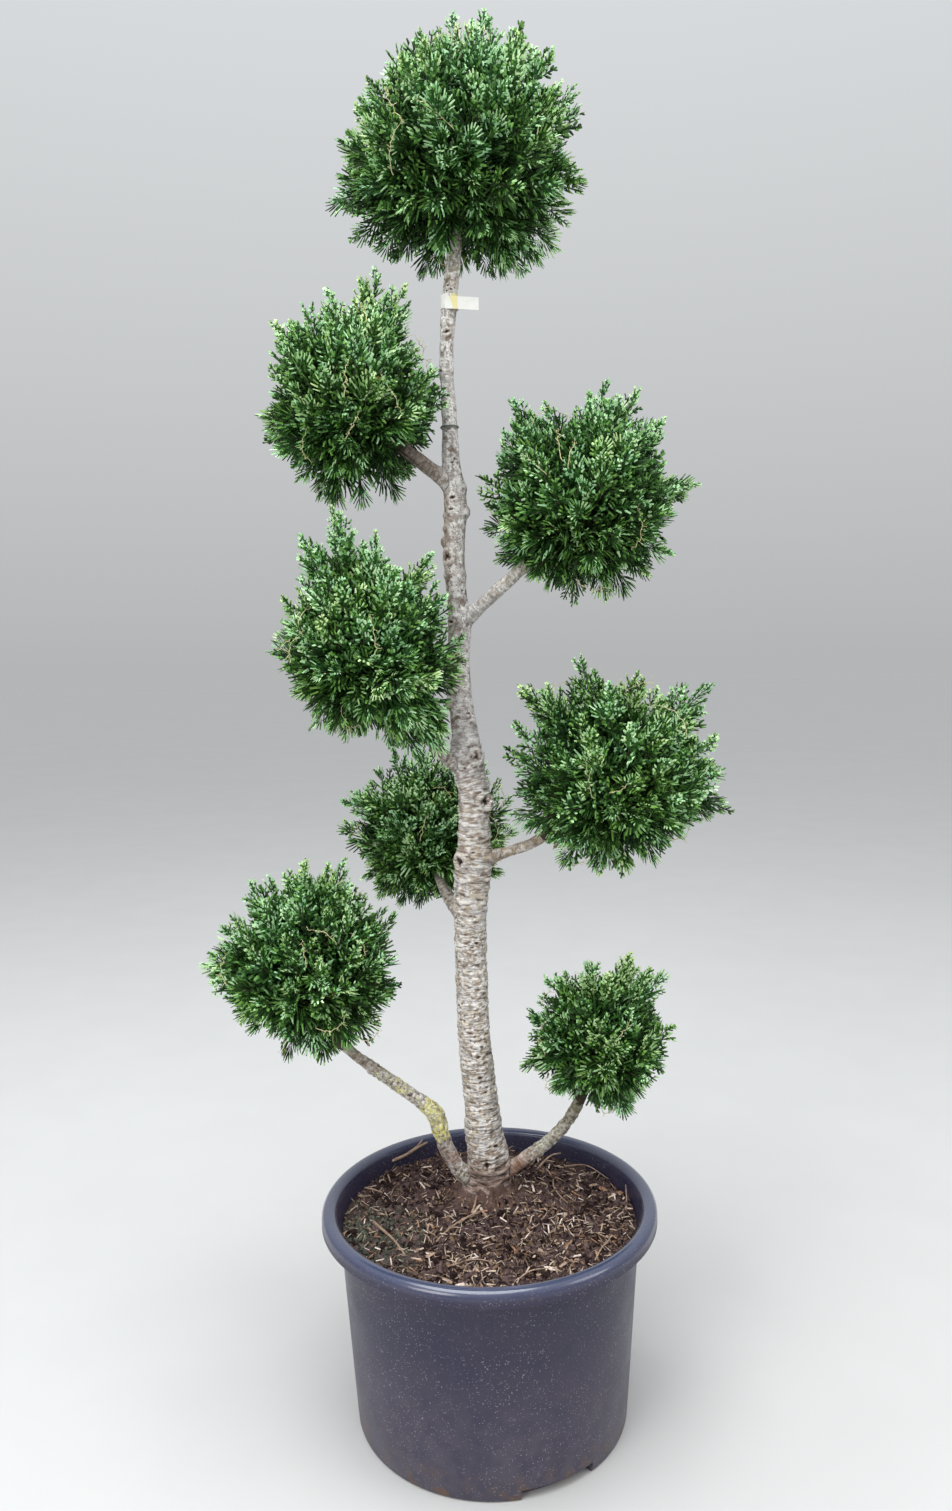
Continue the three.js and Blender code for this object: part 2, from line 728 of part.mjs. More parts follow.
function labelSolid() {
  const { centre } = trunkAt(LABEL_HEIGHT);
  const loop = new THREE.CylinderGeometry(LABEL_LOOP_RADIUS, LABEL_LOOP_RADIUS, LABEL_WIDTH, LABEL_SIDES);
  loop.rotateX(Math.PI / 2);
  loop.translate(centre.x, centre.y, LABEL_HEIGHT);
  const flag = new THREE.BoxGeometry(FLAG_LENGTH, FLAG_THICKNESS, LABEL_WIDTH);
  flag.translate(FLAG_LENGTH / 2, -LABEL_LOOP_RADIUS + FLAG_THICKNESS, 0);
  flag.rotateY(FLAG_TURN);
  flag.translate(centre.x, centre.y, LABEL_HEIGHT);
  return largestBody(solidOf(loop).add(solidOf(flag)).subtract(trunkRoom));
}

const tree = new THREE.Group();
tree.add(namedMesh("trunk", trunkSolid(), "bark"));
for (const name of Object.keys(BOUGHS)) tree.add(namedMesh(name, boughSolid(name), "bark"));
tree.add(namedMesh("label_tag", labelSolid(), "label"));

const crown = new THREE.Group();
Object.entries(MASSES).forEach(([name, mass], index) => {
  const solid = massSolid(name, mass, SEED + SEED_STEP * index);
  crown.add(namedMesh(name, solid, "foliage", V(...mass.centre)));
});
tree.add(crown);

const group = new THREE.Group();
group.add(namedMesh("container", containerSolid(), "plastic"));
group.add(namedMesh("soil", soilSolid(), "soil"));
group.add(tree);

export default group;
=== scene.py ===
import math
from functools import partial

import bmesh
import bpy
import numpy as np
from mathutils import Matrix, Vector, noise


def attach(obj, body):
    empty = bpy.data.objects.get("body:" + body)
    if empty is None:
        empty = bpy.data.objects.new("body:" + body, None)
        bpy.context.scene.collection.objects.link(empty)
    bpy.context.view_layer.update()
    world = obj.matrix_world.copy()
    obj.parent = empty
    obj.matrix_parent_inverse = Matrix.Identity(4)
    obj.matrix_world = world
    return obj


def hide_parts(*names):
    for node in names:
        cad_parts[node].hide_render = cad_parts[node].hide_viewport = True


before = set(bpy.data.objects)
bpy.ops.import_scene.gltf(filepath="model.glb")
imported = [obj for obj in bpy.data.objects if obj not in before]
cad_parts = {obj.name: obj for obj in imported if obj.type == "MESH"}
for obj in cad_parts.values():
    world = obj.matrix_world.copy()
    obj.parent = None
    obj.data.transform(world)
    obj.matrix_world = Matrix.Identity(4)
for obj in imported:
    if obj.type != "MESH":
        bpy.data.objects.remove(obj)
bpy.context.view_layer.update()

MM = 0.001
POINT_BLOCK = 20000

# Camera: a metre in front of the tree, a little to its left, looking slightly down
PHOTO_HEIGHT = 1511
FOCAL_PIXELS = 1080
SENSOR_HEIGHT = 36
CAMERA_PLACE = (-23.7, -1008.1, 731.5)
CAMERA_DOWN = math.radians(5.116)
CAMERA_RIGHT = math.radians(1.086)
CAMERA_ROLL = math.radians(1.084)

# Stage and soft light: place, size and power of each lamp
FLOOR_RADIUS = 30000
FLOOR_SIDES = 64
LAMPS = {
    "sky_light": {"place": (-300, -500, 2700), "size": 2200, "power": 62, "tint": (0.95, 0.98, 1.0)},
    "front_light": {"place": (-1500, -1900, 1500), "size": 1300, "power": 23, "tint": (1.0, 0.98, 0.95)},
    "right_light": {"place": (1700, -700, 1500), "size": 1000, "power": 8, "tint": (1.0, 0.98, 0.96)},
}
LAMP_AIM = (0, 0, 620)
HORIZON_TINT = (0.457, 0.466, 0.47)
ZENITH_TINT = (0.92, 0.95, 0.98)

# Container, as built: foot, shoulder, rolled rim, wall and drain notches
FOOT_RADIUS = 131.5
FOOT_CHAMFER = 3
SHOULDER_RADIUS = 144.5
SHOULDER_HEIGHT = 192
RIM_RADIUS = 161.5
RIM_TOP = 210.5
ROLL_RADIUS = 7.4
ROLL_SKIRT = 7
ROLL_STEPS = 12
WALL = 2.2
FLOOR = 3
CORNER_INSET = 21
CORNER_RISE = 19
CONTAINER_SIDES = 192
# Heights of the wall's rings, outside and inside
OUTER_RINGS = (40, 90, 140, 180)
INNER_RINGS = (160, 110, 60)
SHARP_EDGE = math.radians(32)
NOTCH_COUNT = 3
NOTCH_AZIMUTH = math.radians(-65)
NOTCH_ARC = math.radians(32)
NOTCH_HEIGHT = 10
NOTCH_DEPTH = 10
NOTCH_STEPS = 16

# Soil, as built, with crumbs on its top
GAP = 0.3
SOIL_EDGE = 190
SOIL_RISE = 3
SOIL_RIPPLE = 1.6
SOIL_FINE_RIPPLE = 1
SOIL_WAVES = (21, 17, 11)
SOIL_RINGS = 112
SOIL_SPOKES = 400
MOUND_TOP = 196
MOUND_RADIUS = 33
MOUND_SKIRT = 16
CRUMBS = ((24, 2.8), (10, 3.4), (5, 3.2), (2.8, 1.7))
FOOT_LAP = 12
FOOT_LAP_RADIUS = 22
FOOT_LAP_WIDTH = 18
LAP_CRUMB = 9
FOOT_DUST_RADIUS = 47
FOOT_DUST_FADE = 14
# The patch of moss: its centre, its half widths, and the share of them at which it ends
MOSS_CENTRE = (-112, -45)
MOSS_HALF_SIZE = (42, 62)
MOSS_END = 1.5

# Trunk and boughs, as built: stations of centre and radius
TRUNK = [
    (189, -2, 41, 28.5), (196, -1, 41, 25.5), (203, 0, 41, 22.6), (213, 1, 41, 20.8), (233, 1, 41, 20.6),
    (257, -3, 41, 18.4), (290, -5, 41, 16.7), (345, -10, 40, 16.0), (394, -12, 40, 15.4),
    (437, -12.5, 40, 15.6), (481, -12.5, 40, 15.8), (521, -9.5, 40, 17.2), (536, -8, 39, 18.6),
    (552, -7.5, 39, 15.8), (574, -7, 39, 15.0), (600, -7, 39, 15.4), (617, -9.6, 40, 14.5),
    (636, -13.2, 40, 16.6), (654, -13.4, 40, 13.8), (673, -15.5, 41, 12.2), (692, -18, 41, 11.8),
    (737, -18.6, 41, 10.8), (764, -17.2, 41, 11.4), (783, -18.4, 41, 9.6), (811, -20.4, 40, 9.8),
    (844, -20.5, 40, 10.1), (878, -18.6, 40, 10.9), (899, -20.6, 40, 10.3), (916, -22.2, 40, 8.6),
    (944, -22.8, 40, 7.6), (980, -24, 40, 7.0), (1018, -24.6, 41, 6.5), (1046, -22.5, 41, 7.4),
    (1079, -19.1, 41, 7.3), (1108, -15.5, 40, 6.9), (1160, -11.5, 40, 5.9), (1215, -8, 40, 4.6),
    (1268, -4, 40, 2.4),
]
BOUGHS = {
    "bough_upper_left": [
        (-20.5, 40, 893, 9.2), (-29, 38, 902, 8.2), (-42, 34, 911, 7.0), (-56, 29, 921, 6.3),
        (-68, 25, 930, 5.9),
    ],
    "bough_upper_right": [
        (-17.5, 41, 761, 8.2), (-8, 39.5, 771, 7.2), (8, 36, 786, 6.3), (28, 32, 803, 6.0),
        (48, 28, 820, 5.7),
    ],
    "bough_middle_left": [
        (-12, 40, 622, 8.2), (-24, 34, 630, 7.2), (-37, 24, 643, 6.4), (-48, 12, 660, 5.9),
        (-58, 4, 678, 5.5),
    ],
    "bough_middle_right": [
        (-7.5, 39, 529, 8.2), (8, 37, 537, 6.6), (27, 33, 544, 5.7), (46, 27, 551, 5.5),
        (61, 21, 561, 5.2),
    ],
    "bough_rear": [
        (-12, 40, 462, 7.2), (-22, 58, 474, 6.2), (-34, 80, 489, 5.4), (-43, 102, 504, 4.9),
        (-47, 116, 516, 4.6),
    ],
    "bough_lower_left": [
        (-7, 40, 206, 8.8), (-21, 37, 212, 8.0), (-31, 34, 226, 7.6), (-40, 30, 245, 7.6),
        (-45.5, 27, 263, 7.8), (-51.5, 24, 285, 8.3), (-68, 21, 301, 6.6), (-98, 16, 326, 6.0),
        (-124, 13, 348, 5.7), (-139, 12, 362, 5.5),
    ],
    "bough_lower_right": [
        (7, 41, 208, 8.6), (23, 39, 219, 7.4), (44, 36, 235, 6.6), (63, 34, 250, 6.4),
        (78, 32, 267, 6.2), (88, 31, 282, 5.6), (93, 30.6, 292, 5.4),
    ],
}
FLARE_LOBES = 5
FLARE_DEPTH = 0.1
FLARE_HEIGHT = 30
# Knots that stand out: height, azimuth in degrees (-90 faces the front), radius, how far it stands out
KNOTS = [
    (592, -30, 8, 3.8), (638, -44, 8.5, 4.0), (690, 196, 7, 3.6), (720, 188, 5.5, 2.8), (843, 186, 6.5, 4.0),
    (871, -14, 7, 4.0), (893, -8, 6, 2.6), (538, -140, 7, 2.6), (1040, -80, 5, 1.4), (812, 184, 5, 1.8),
]

# Bark: fineness of its mesh, its relief from the foot to the top, and the pits of old twigs
LIMB_SPACING = 3
GRAIN = [(196, 1.0), (300, 1.1), (370, 1.7), (480, 1.5), (530, 1.0), (660, 1.1), (720, 1.8), (1268, 2.2)]
BOUGH_GRAIN = 1.8
LIMB_SIDES = 28
# How far the bark's pattern on one limb lies from the next limb's
LIMB_PLACE_STEP = 400
BARK_VOXEL = 1.3
JOIN_PASSES = 14
JOIN_RATIO = 1.9
JOIN_LEAST_EASE = 0.25
BARK_LUMP = 0.9
BARK_BUMP = 0.5
BARK_ROLLS = 0.5
BARK_STREAKS = 0.55
LICHEN_CRUST = 1.3
# The trunk's left side, darkened with painted shade between two heights, to a share of its tone
SHADED_SIDE = (650, 905)
SHADED_SIDE_FADE = 20
SHADED_SIDE_TONE = (0.62, 0.54, 0.47)
TONE_PASSES = 6
CREASE_PASSES = 6
CREASE_DEPTH = 0.42
BARK_WRINKLES = [
    (196, 1.25), (215, 1.2), (235, 0.95), (560, 0.85), (640, 0.5), (690, 0.26), (900, 0.2), (1268, 0.12),
]
BOUGH_WRINKLE = 0.42
# Pits on the trunk: height, azimuth, radius, depth
PITS = [
    (594, -46, 4.6, 3.8), (638, -56, 4.4, 3.2), (627, -104, 2.2, 0.9), (692, -176, 4.2, 2.2),
    (708, -132, 4.0, 2.0), (719, -98, 3.8, 1.8), (536, -138, 4.8, 3.2), (545, -94, 2.4, 1.2),
    (862, -172, 4.4, 2.4), (829, -140, 4.2, 2.0), (884, -106, 3.2, 1.2), (873, -114, 2.6, 1.0),
    (1037, -100, 3.2, 1.4), (365, -106, 3.0, 1.5), (341, -84, 2.6, 1.2), (320, -84, 2.8, 1.4),
    (305, -70, 2.6, 1.2), (249, -58, 3.0, 1.3), (232, -96, 4.6, 2.2), (430, 60, 3.4, 1.6),
    (700, 70, 3.2, 1.6), (520, 110, 3.6, 2.2), (810, 30, 3.0, 1.4), (960, 95, 2.6, 1.2),
    (1002, -150, 2.4, 1.1), (920, -60, 2.6, 1.2), (767, -140, 3.0, 1.4), (455, -70, 2.6, 1.0),
]
SMALL_PIT = 4
PIT_FLATNESS = 1.8
# Rings that run round the trunk: height, half width, how far they stand out
RINGS = [
    (563, 2.8, 1.5), (519, 2.4, 1.4), (509, 2.2, 1.2), (498, 2.6, 1.1), (487, 2.4, 0.8), (612, 3.0, 1.1),
    (650, 2.4, 0.8), (899, 3.0, 0.6), (300, 3.0, 0.8), (271, 2.6, 0.7), (222, 2.6, 1.0), (213, 2.4, 1.3),
    (205, 2.2, 1.2),
]

# Bark tones from the foot to the top of the trunk, and from the trunk to the tip of each bough
TRUNK_TONES = [
    (196, (0.20, 0.122, 0.100)), (205, (0.33, 0.207, 0.170)), (213, (0.36, 0.230, 0.188)),
    (223, (0.34, 0.224, 0.176)), (235, (0.49, 0.372, 0.290)), (255, (0.63, 0.525, 0.42)),
    (290, (0.74, 0.640, 0.52)),
    (480, (0.71, 0.61, 0.50)), (545, (0.60, 0.49, 0.385)), (600, (0.57, 0.49, 0.43)),
    (640, (0.56, 0.49, 0.47)), (665, (0.66, 0.61, 0.63)), (700, (0.67, 0.62, 0.61)),
    (860, (0.62, 0.56, 0.54)), (940, (0.64, 0.60, 0.60)), (1055, (0.66, 0.63, 0.61)),
    # Above 1115 the trunk runs inside the top mass, and its tones fall to near black: painted shade
    (1082, (0.66, 0.60, 0.52)), (1115, (0.50, 0.45, 0.34)), (1150, (0.07, 0.055, 0.035)),
    (1268, (0.05, 0.04, 0.025)),
]
BOUGH_TONES = {
    "bough_upper_left": [
        (0, (0.60, 0.53, 0.50)), (0.2, (0.42, 0.345, 0.30)), (0.5, (0.28, 0.215, 0.175)),
        (1, (0.17, 0.13, 0.10)),
    ],
    "bough_upper_right": [(0, (0.82, 0.79, 0.78)), (0.6, (0.76, 0.71, 0.66)), (1, (0.56, 0.47, 0.38))],
    "bough_middle_left": [(0, (0.46, 0.39, 0.37)), (0.4, (0.38, 0.31, 0.28)), (1, (0.26, 0.20, 0.17))],
    "bough_middle_right": [(0, (0.50, 0.42, 0.33)), (0.5, (0.44, 0.36, 0.26)), (1, (0.32, 0.25, 0.17))],
    "bough_rear": [(0, (0.46, 0.40, 0.34)), (1, (0.36, 0.31, 0.26))],
    "bough_lower_left": [
        (0, (0.26, 0.155, 0.115)), (0.07, (0.36, 0.29, 0.25)), (0.15, (0.52, 0.47, 0.43)),
        (0.215, (0.44, 0.285, 0.225)), (0.26, (0.42, 0.33, 0.28)), (0.38, (0.48, 0.43, 0.36)),
        (0.8, (0.43, 0.38, 0.31)), (1, (0.33, 0.26, 0.185)),
    ],
    "bough_lower_right": [
        (0, (0.32, 0.17, 0.115)), (0.28, (0.38, 0.20, 0.13)), (0.45, (0.50, 0.46, 0.36)),
        (1, (0.23, 0.25, 0.15)),
    ],
}
# Lichen: limb, the shares of its length that it covers, how thickly, and how yellow
LICHEN = [
    ("bough_lower_left", 0.24, 0.62, 0.55, 1.0),
    ("bough_lower_left", 0.60, 0.73, 0.485, 0.9),
    ("bough_lower_left", 0.03, 0.19, 0.45, 0.2),
    ("bough_lower_left", 0.3, 0.96, 0.46, 0.3),
    ("bough_lower_right", 0.28, 1.0, 0.47, 0.2),
    ("trunk", 0.02, 0.3, 0.36, 0.7),
]

# Foliage masses, as built
MASSES = {
    "foliage_top": {
        "centre": (-10, 40, 1202), "reach": (117, 116, 104, 97, 116, 127, 108, 130), "depth": 112,
        "bough": None,
        "leaders": (
            (16, 113), (66, 100), (-16, 108), (-37, 104), (-65, 76), (-126, -48), (122, -30), (61, -118),
        ),
    },
    "foliage_upper_left": {
        "centre": (-111, 10, 970), "reach": (88, 88, 92, 90, 89, 97, 100, 102), "depth": 90,
        "bough": "bough_upper_left", "leaders": ((26, 121), (-20, 104), (52, 102), (-74, 72)),
    },
    "foliage_upper_right": {
        "centre": (101, 20, 878), "reach": (92, 95, 89, 101, 100, 99, 99, 102), "depth": 94,
        "bough": "bough_upper_right",
        "leaders": ((22, 110), (55, 103), (78, 75), (-68, 95), (-36, 92), (111, 13)),
    },
    "foliage_middle_left": {
        "centre": (-104, -20, 750), "reach": (93, 90, 87, 79, 90, 99, 100, 104), "depth": 88,
        "bough": "bough_middle_left",
        "leaders": (
            (-25, 122), (-56, 98), (14, 99), (65, 79), (52, -98), (74, -82), (27, -104), (64, -100),
            (76, -92), (72, -108), (48, -112),
        ),
    },
    "foliage_middle_right": {
        "centre": (126, 0, 625), "reach": (101, 98, 89, 107, 105, 107, 98, 98), "depth": 98,
        "bough": "bough_middle_right", "leaders": ((-34, 109), (96, 81), (-92, 82), (21, 94), (113, -43)),
    },
    "foliage_rear": {
        "centre": (-53, 153, 548), "reach": (97, 93, 90, 92, 97, 92, 87, 92), "depth": 88,
        "bough": "bough_rear", "leaders": ((-98, 36), (-62, -78)),
    },
    "foliage_lower_left": {
        "centre": (-169, 10, 447), "reach": (102, 88, 86, 89, 99, 88, 97, 109), "depth": 92,
        "bough": "bough_lower_left", "leaders": ((-2, 99), (23, 95), (-55, 79), (38, 98), (-107, -5)),
    },
    "foliage_lower_right": {
        "centre": (114, 30, 358), "reach": (75, 79, 72, 79, 74, 79, 81, 78), "depth": 76,
        "bough": "bough_lower_right",
        "leaders": ((31, 84), (-15, 79), (67, 64), (-57, 61), (25, -89), (-82, -31)),
    },
}

# How each mass branches, as built, as shares of its reach in the direction of growth
SEED = 20
SEED_STEP = 7
RANDOM_FACTOR = 1664525
RANDOM_STEP = 1013904223
RANDOM_RANGE = 2**32
HUB_DROP = 0.12
FORK_COUNT = 9
FORK_SHARE = 0.42
BRANCH_COUNT = 30
BRANCH_SHARE = 0.54
JITTER = 0.16
LIMB_MARGIN = 30
LIMB_CLEARANCE = 1
SPACE_CLEARANCE = 1
STEM_OVERLAP = 3
STEM_LEAD = 9
STEM_LEAD_TAPER = 0.3
STEM_HUB_RADIUS = 3
TOP_STEM_LENGTH = 18
TOP_STEM_TIP_RADIUS = 1.2

# Finer growth: shoots on the branches, sprays round each shoot, fingers on each spray
SHOOT_AREA = 1020
SHOOT_ROOT_SHARE = 0.46
SHOOT_HIGH = 1.045
SHOOT_UNEVEN = 0.3
SHOOT_HOLLOW_SHADE = 1.3
SHOOT_RISE = 0.5
SHOOT_SPRAYS = 12
SHOOT_DEPTH = 42
SHOOT_SPLAY = 0.84
SHOOT_TIP_SPLAY = 0.14
SPRAY_LENGTH = 26
SPRAY_KINDS = 8
# Places on a spray that must be clear, as shares of its length along and across it
SPRAY_PROBES = ((0.3, 0), (0.65, -0.25), (0.65, 0.25), (1, 0), (0.9, -0.5), (0.9, 0.5))
SPRAY_FACING = 0.9
FINGER_END = 0.62
FINGER_HALF_THICKNESS = 0.03
KNOBBY_FINGERS = 7
KNOBBY_SHOULDER = 0.52
KNOBBY_HALF_WIDTH = 0.062
KNOBBY_REACH = 0.42
KNOBBY_ANGLE = 0.8
LONG_FINGERS = 7
LONG_SHOULDER = 0.6
LONG_HALF_WIDTH = 0.042
LONG_FAN = 0.5
LONG_LENGTH = 1.26
FROND_FINGERS = 11
FROND_SHOULDER = 0.5
FROND_HALF_WIDTH = 0.032
FROND_REACH = 0.4
FROND_ANGLE = 1.0
FROND_BOW = 0.04
FROND_SIZE = 1.4
FROND_SHARE = 0.42
FINGER_CHANGE = 0.36
LEADER_SPRAYS = 16
LEADER_DEPTH = 52
LEADER_SPLAY = 0.62
LEADER_MOOD = 0.16
SIDE_SHOOTS = 2
SIDE_SHOOT_SHARE = 0.86
SIDE_SHOOT_OFFSET = 13
INNER_SPRAYS = 230
INNER_LENGTH = 34
INNER_LEAST = 0.45
INNER_SHARE = 0.76
SHOOT_RADIUS = 0.9
SHOOT_WOOD_SHARE = 0.86
TWIG_RADIUS = 1.5
FORK_RADIUS = 2.6
BRANCH_RADIUS = 0.8 * FORK_RADIUS
DRY_TWIGS = 12
DRY_TWIG_RADIUS = 0.3
DRY_TWIG_POINTS = 14
DRY_TWIG_CROOK = 0.75
DRY_TWIG_ARC = (0.3, 0.6)
DRY_TWIG_DEPTH = (0.77, 0.87)
DRY_SPUR_SHARE = 0.8
DRY_SPUR_LENGTH = (2, 6)

# Foliage tints: the body of a finger and its tip, which is lighter as a painted highlight
TINTS = {
    "shade": ((0.012, 0.038, 0.008), (0.022, 0.062, 0.013)),
    "deep": ((0.019, 0.066, 0.011), (0.060, 0.170, 0.032)),
    "green": ((0.033, 0.112, 0.016), (0.200, 0.430, 0.098)),
    "blue": ((0.040, 0.138, 0.032), (0.460, 0.790, 0.400)),
    "fresh_lit": ((0.076, 0.215, 0.038), (0.700, 0.970, 0.530)),
    "dry": ((0.200, 0.140, 0.065), (0.290, 0.210, 0.100)),
}

# The scores at which a spray takes another tint than green, and the share of dry ones; the score is painted
# light and shade, so the lighter tints stand partly for painted light and the darker ones for painted shade
TINTS_BELOW = {"deep": -0.2, "shade": -0.72}
TINTS_ABOVE = {"blue": 0.36, "fresh_lit": 0.58}
DRY_SHARE = 0.0015

# Hues of the foliage, as factors on every tint, and how regions of a warmer and a cooler hue lie in it
LEAF_HUES = {"": (1.0, 1.0, 1.0), "_warm": (1.11, 1.0, 0.78), "_cool": (0.92, 1.0, 1.12)}
PLAIN_HUE, WARM_HUE, COOL_HUE = range(3)
HUE_DRIFT = 27
HUE_EDGE = 0.12
HUE_MIXING = 0.03

# Masses that are deeper in tint than the others
MASS_MOODS = {"foliage_upper_left": -0.1, "foliage_upper_right": -0.1}

# Where foliage leaves a bough open to the front: two places on the bough and the gap's half height
OPENINGS = {"foliage_upper_left": [((-26, 38, 899), (-66, 26, 928), 8)]}

# Label on the upper trunk: a loop from one bearing to another, and a flag from one x to another
LABEL_HEIGHT = 1065
LABEL_WIDTH = 12.6
LABEL_THICKNESS = 0.7
LABEL_LOOP_RADIUS = 9.1
LOOP_FROM = -88
LOOP_TO = 264
LOOP_POINTS = 49
FLAG_FROM = -4.5
FLAG_TO = 27
FLAG_POINTS = 9
FLAG_GAP = 0.1
FLAG_BOW = 0.72
FLAG_TURN = math.radians(4)
FLAG_DROP = 2.2
FLAG_WIDTH_SHARE = 0.92
# The label is yellow between two x, and its flag only up to a lesser one
YELLOW_FROM = 1.5
YELLOW_TO = 9.4
FLAG_YELLOW_TO = 8

# A thin wire tie, wound twice round the trunk
WIRE_HEIGHT = 950
WIRE_RADIUS = 0.55
WIRE_POINTS = 41
WIRE_GAP = 0.35
WIRE_RISE = 0.1
WIRE_END_POINTS = 3
WIRE_END_STEP = 1.6

# Larger dry twigs that lie on the soil: points along each, and its radius
SOIL_TWIGS = [
    ([(-118, 99, 195), (-101, 106, 198), (-86, 111, 202), (-74, 116, 207), (-63, 122, 210.5)], 2.0),
    ([(-84, 112, 203), (-74, 120, 207), (-68, 124, 213)], 1.3),
    ([(-51, -51, 194.5), (-41, -34, 195.5), (-28, -18, 196.5), (-10, -4, 198)], 1.0),
    ([(-30, -22, 196), (-20, -12, 197), (-9, -7, 198.5)], 1.1),
    ([(-17, -4, 196), (-14, 5, 200), (-12, 13, 205)], 1.2),
    ([(53, 85, 194), (61, 93, 199), (70, 99, 203), (80, 103, 203)], 1.3),
    ([(68, 62, 194), (67, 43, 196), (72, 26, 195), (78, 13, 194.5)], 0.8),
    ([(92, -87, 193), (100, -71, 195), (110, -56, 194)], 0.9),
    ([(-112, -13, 195), (-101, -32, 196.5), (-90, -49, 196), (-79, -71, 194)], 1.5),
    ([(-126, 58, 193.5), (-117, 51, 195), (-107, 45, 194.5)], 1.0),
    ([(22, -113, 193.5), (33, -104, 195), (49, -99, 194)], 0.9),
    ([(83, 90, 194.5), (104, 91, 195), (125, 60, 194.5)], 0.9),
    ([(99, -45, 195), (109, -54, 194.5)], 0.7),
    ([(133, -3, 194), (136, 12, 198), (138, 30, 203)], 0.9),
    ([(-20, 110, 194), (4, 118, 196), (30, 114, 195)], 1.0),
    ([(-40, -92, 194), (-15, -84, 195.5), (2, -88, 194)], 0.8),
]
# Larger chips and slivers: place, length, width, turn in degrees, tone
LARGE_CHIPS = [
    (131, 37, 15, 8, 20, "bark_chip"), (118, 44, 11, 7, -35, "bark_chip"), (108, 52, 12, 4, 10, "chip_tan"),
    (39, 47, 12, 3, -60, "chip_pale"), (46, 42, 14, 2.5, -85, "chip_pale"), (59, 56, 10, 3, -30, "chip_tan"),
    (52, 40, 9, 2.5, 50, "chip_pale"), (-13, 0, 22, 2.4, 60, "straw"), (-8, 2, 17, 3, 95, "chip_pale"),
    (-20, -6, 19, 2, 35, "straw"), (-5, -8, 13, 2.5, 120, "chip_tan"), (-26, -116, 16, 5, 10, "chip_pale"),
    (-40, -108, 12, 4, -20, "chip_tan"), (-56, -72, 13, 5, 50, "chip_tan"), (-66, -64, 11, 2.5, 15, "straw"),
    (51, -98, 12, 5, -15, "chip_pale"), (38, -86, 15, 2.5, 70, "straw"), (63, -90, 10, 4, 35, "chip_tan"),
    (-105, 3, 12, 3, -50, "chip_tan"), (-134, 73, 10, 5, 30, "chip_pale"), (78, 98, 13, 3, -10, "chip_tan"),
]
# How finely the strewn litter gathers in drifts
DRIFT_SCALE = 26.0
# The noise at which drifts begin and are full, and the shares of the litter outside and inside them
DRIFT_NOISE = (0.43, 0.58)
DRIFT_SHARES = (0.12, 1.8)
# Where the litter is thickest, and where it is thinnest
LITTER_FRONT = -70
LITTER_BACK = 90
LITTER_FRONT_SHARE = 1.2
LITTER_BACK_SHARE = 0.45
LITTER_TILT = 0.5
LITTER_ON_MOSS = 0.55
LITTER_CLEAR = 30
LITTER_DROP = 12
CHIP_LIFT = 2.2
CHIP_THICKNESS = 0.9
CHIP_TILT = 0.3
# Kinds of litter strewn on the soil: pieces for each square metre, smallest and largest size, lift
LITTER = {
    "clod": {"density": 4600, "size": (4.0, 11.0), "lift": 0.2, "tones": ("soil_crumb", "soil_dark")},
    "crumb": {"density": 36000, "size": (1.4, 4.6), "lift": 0.5, "tones": ("soil_crumb", "soil_dark")},
    "chip": {"density": 8000, "size": (2.0, 5.5), "lift": 1.5, "tones": ("chip_brown", "chip_dark")},
    "fibre": {"density": 12000, "size": (3.0, 12.0), "lift": 2.0, "tones": ("fibre_brown", "straw")},
    "flake": {
        "density": 18000, "size": (1.2, 4.6), "lift": 2.2,
        "tones": ("chip_tan", "chip_brown", "fibre_brown"),
    },
    "sliver": {
        "density": 8000, "size": (2.4, 10.0), "lift": 2.4,
        "tones": ("chip_tan", "straw", "chip_pale", "bark_chip"),
    },
    "tuft": {"density": 36000, "size": (1.4, 4.2), "lift": 0.8, "tones": ("moss_dark", "moss_green")},
}


# Plain finishes: two colours, fineness of their mottling, roughness, relief and specular
PLAIN_FINISHES = {
    "pale_floor": ((0.59, 0.587, 0.58), (0.575, 0.572, 0.565), 2.0, 0.9, 0.0, 0.1),
    "soil_crumb": ((0.038, 0.023, 0.021), (0.16, 0.110, 0.104), 200.0, 0.95, 0.5, 0.1),
    "soil_dark": ((0.010, 0.0055, 0.005), (0.034, 0.020, 0.019), 200.0, 0.95, 0.5, 0.1),
    "chip_brown": ((0.12, 0.068, 0.042), (0.20, 0.13, 0.085), 260.0, 0.85, 0.4, 0.3),
    "chip_dark": ((0.035, 0.022, 0.017), (0.075, 0.048, 0.036), 260.0, 0.85, 0.4, 0.3),
    "moss_dark": ((0.040, 0.049, 0.040), (0.085, 0.095, 0.075), 240.0, 0.95, 0.5, 0.1),
    "moss_green": ((0.080, 0.100, 0.070), (0.165, 0.180, 0.130), 240.0, 0.95, 0.5, 0.1),
    "bark_chip": ((0.46, 0.26, 0.15), (0.30, 0.16, 0.095), 260.0, 0.8, 0.3, 0.3),
    "chip_tan": ((0.49, 0.36, 0.27), (0.25, 0.175, 0.128), 260.0, 0.8, 0.3, 0.3),
    "chip_pale": ((0.88, 0.76, 0.68), (0.54, 0.43, 0.37), 260.0, 0.8, 0.3, 0.3),
    "fibre_brown": ((0.15, 0.092, 0.06), (0.24, 0.16, 0.105), 300.0, 0.85, 0.2, 0.3),
    "straw": ((0.70, 0.57, 0.46), (0.42, 0.31, 0.225), 300.0, 0.75, 0.2, 0.35),
    "label_white": ((0.97, 0.97, 0.95), (0.92, 0.91, 0.86), 90.0, 0.5, 0.0, 0.4),
    "label_yellow": ((0.93, 0.83, 0.38), (0.92, 0.86, 0.56), 120.0, 0.5, 0.0, 0.4),
    "tie_wire": ((0.09, 0.12, 0.10), (0.15, 0.18, 0.15), 300.0, 0.45, 0.0, 0.5),
}
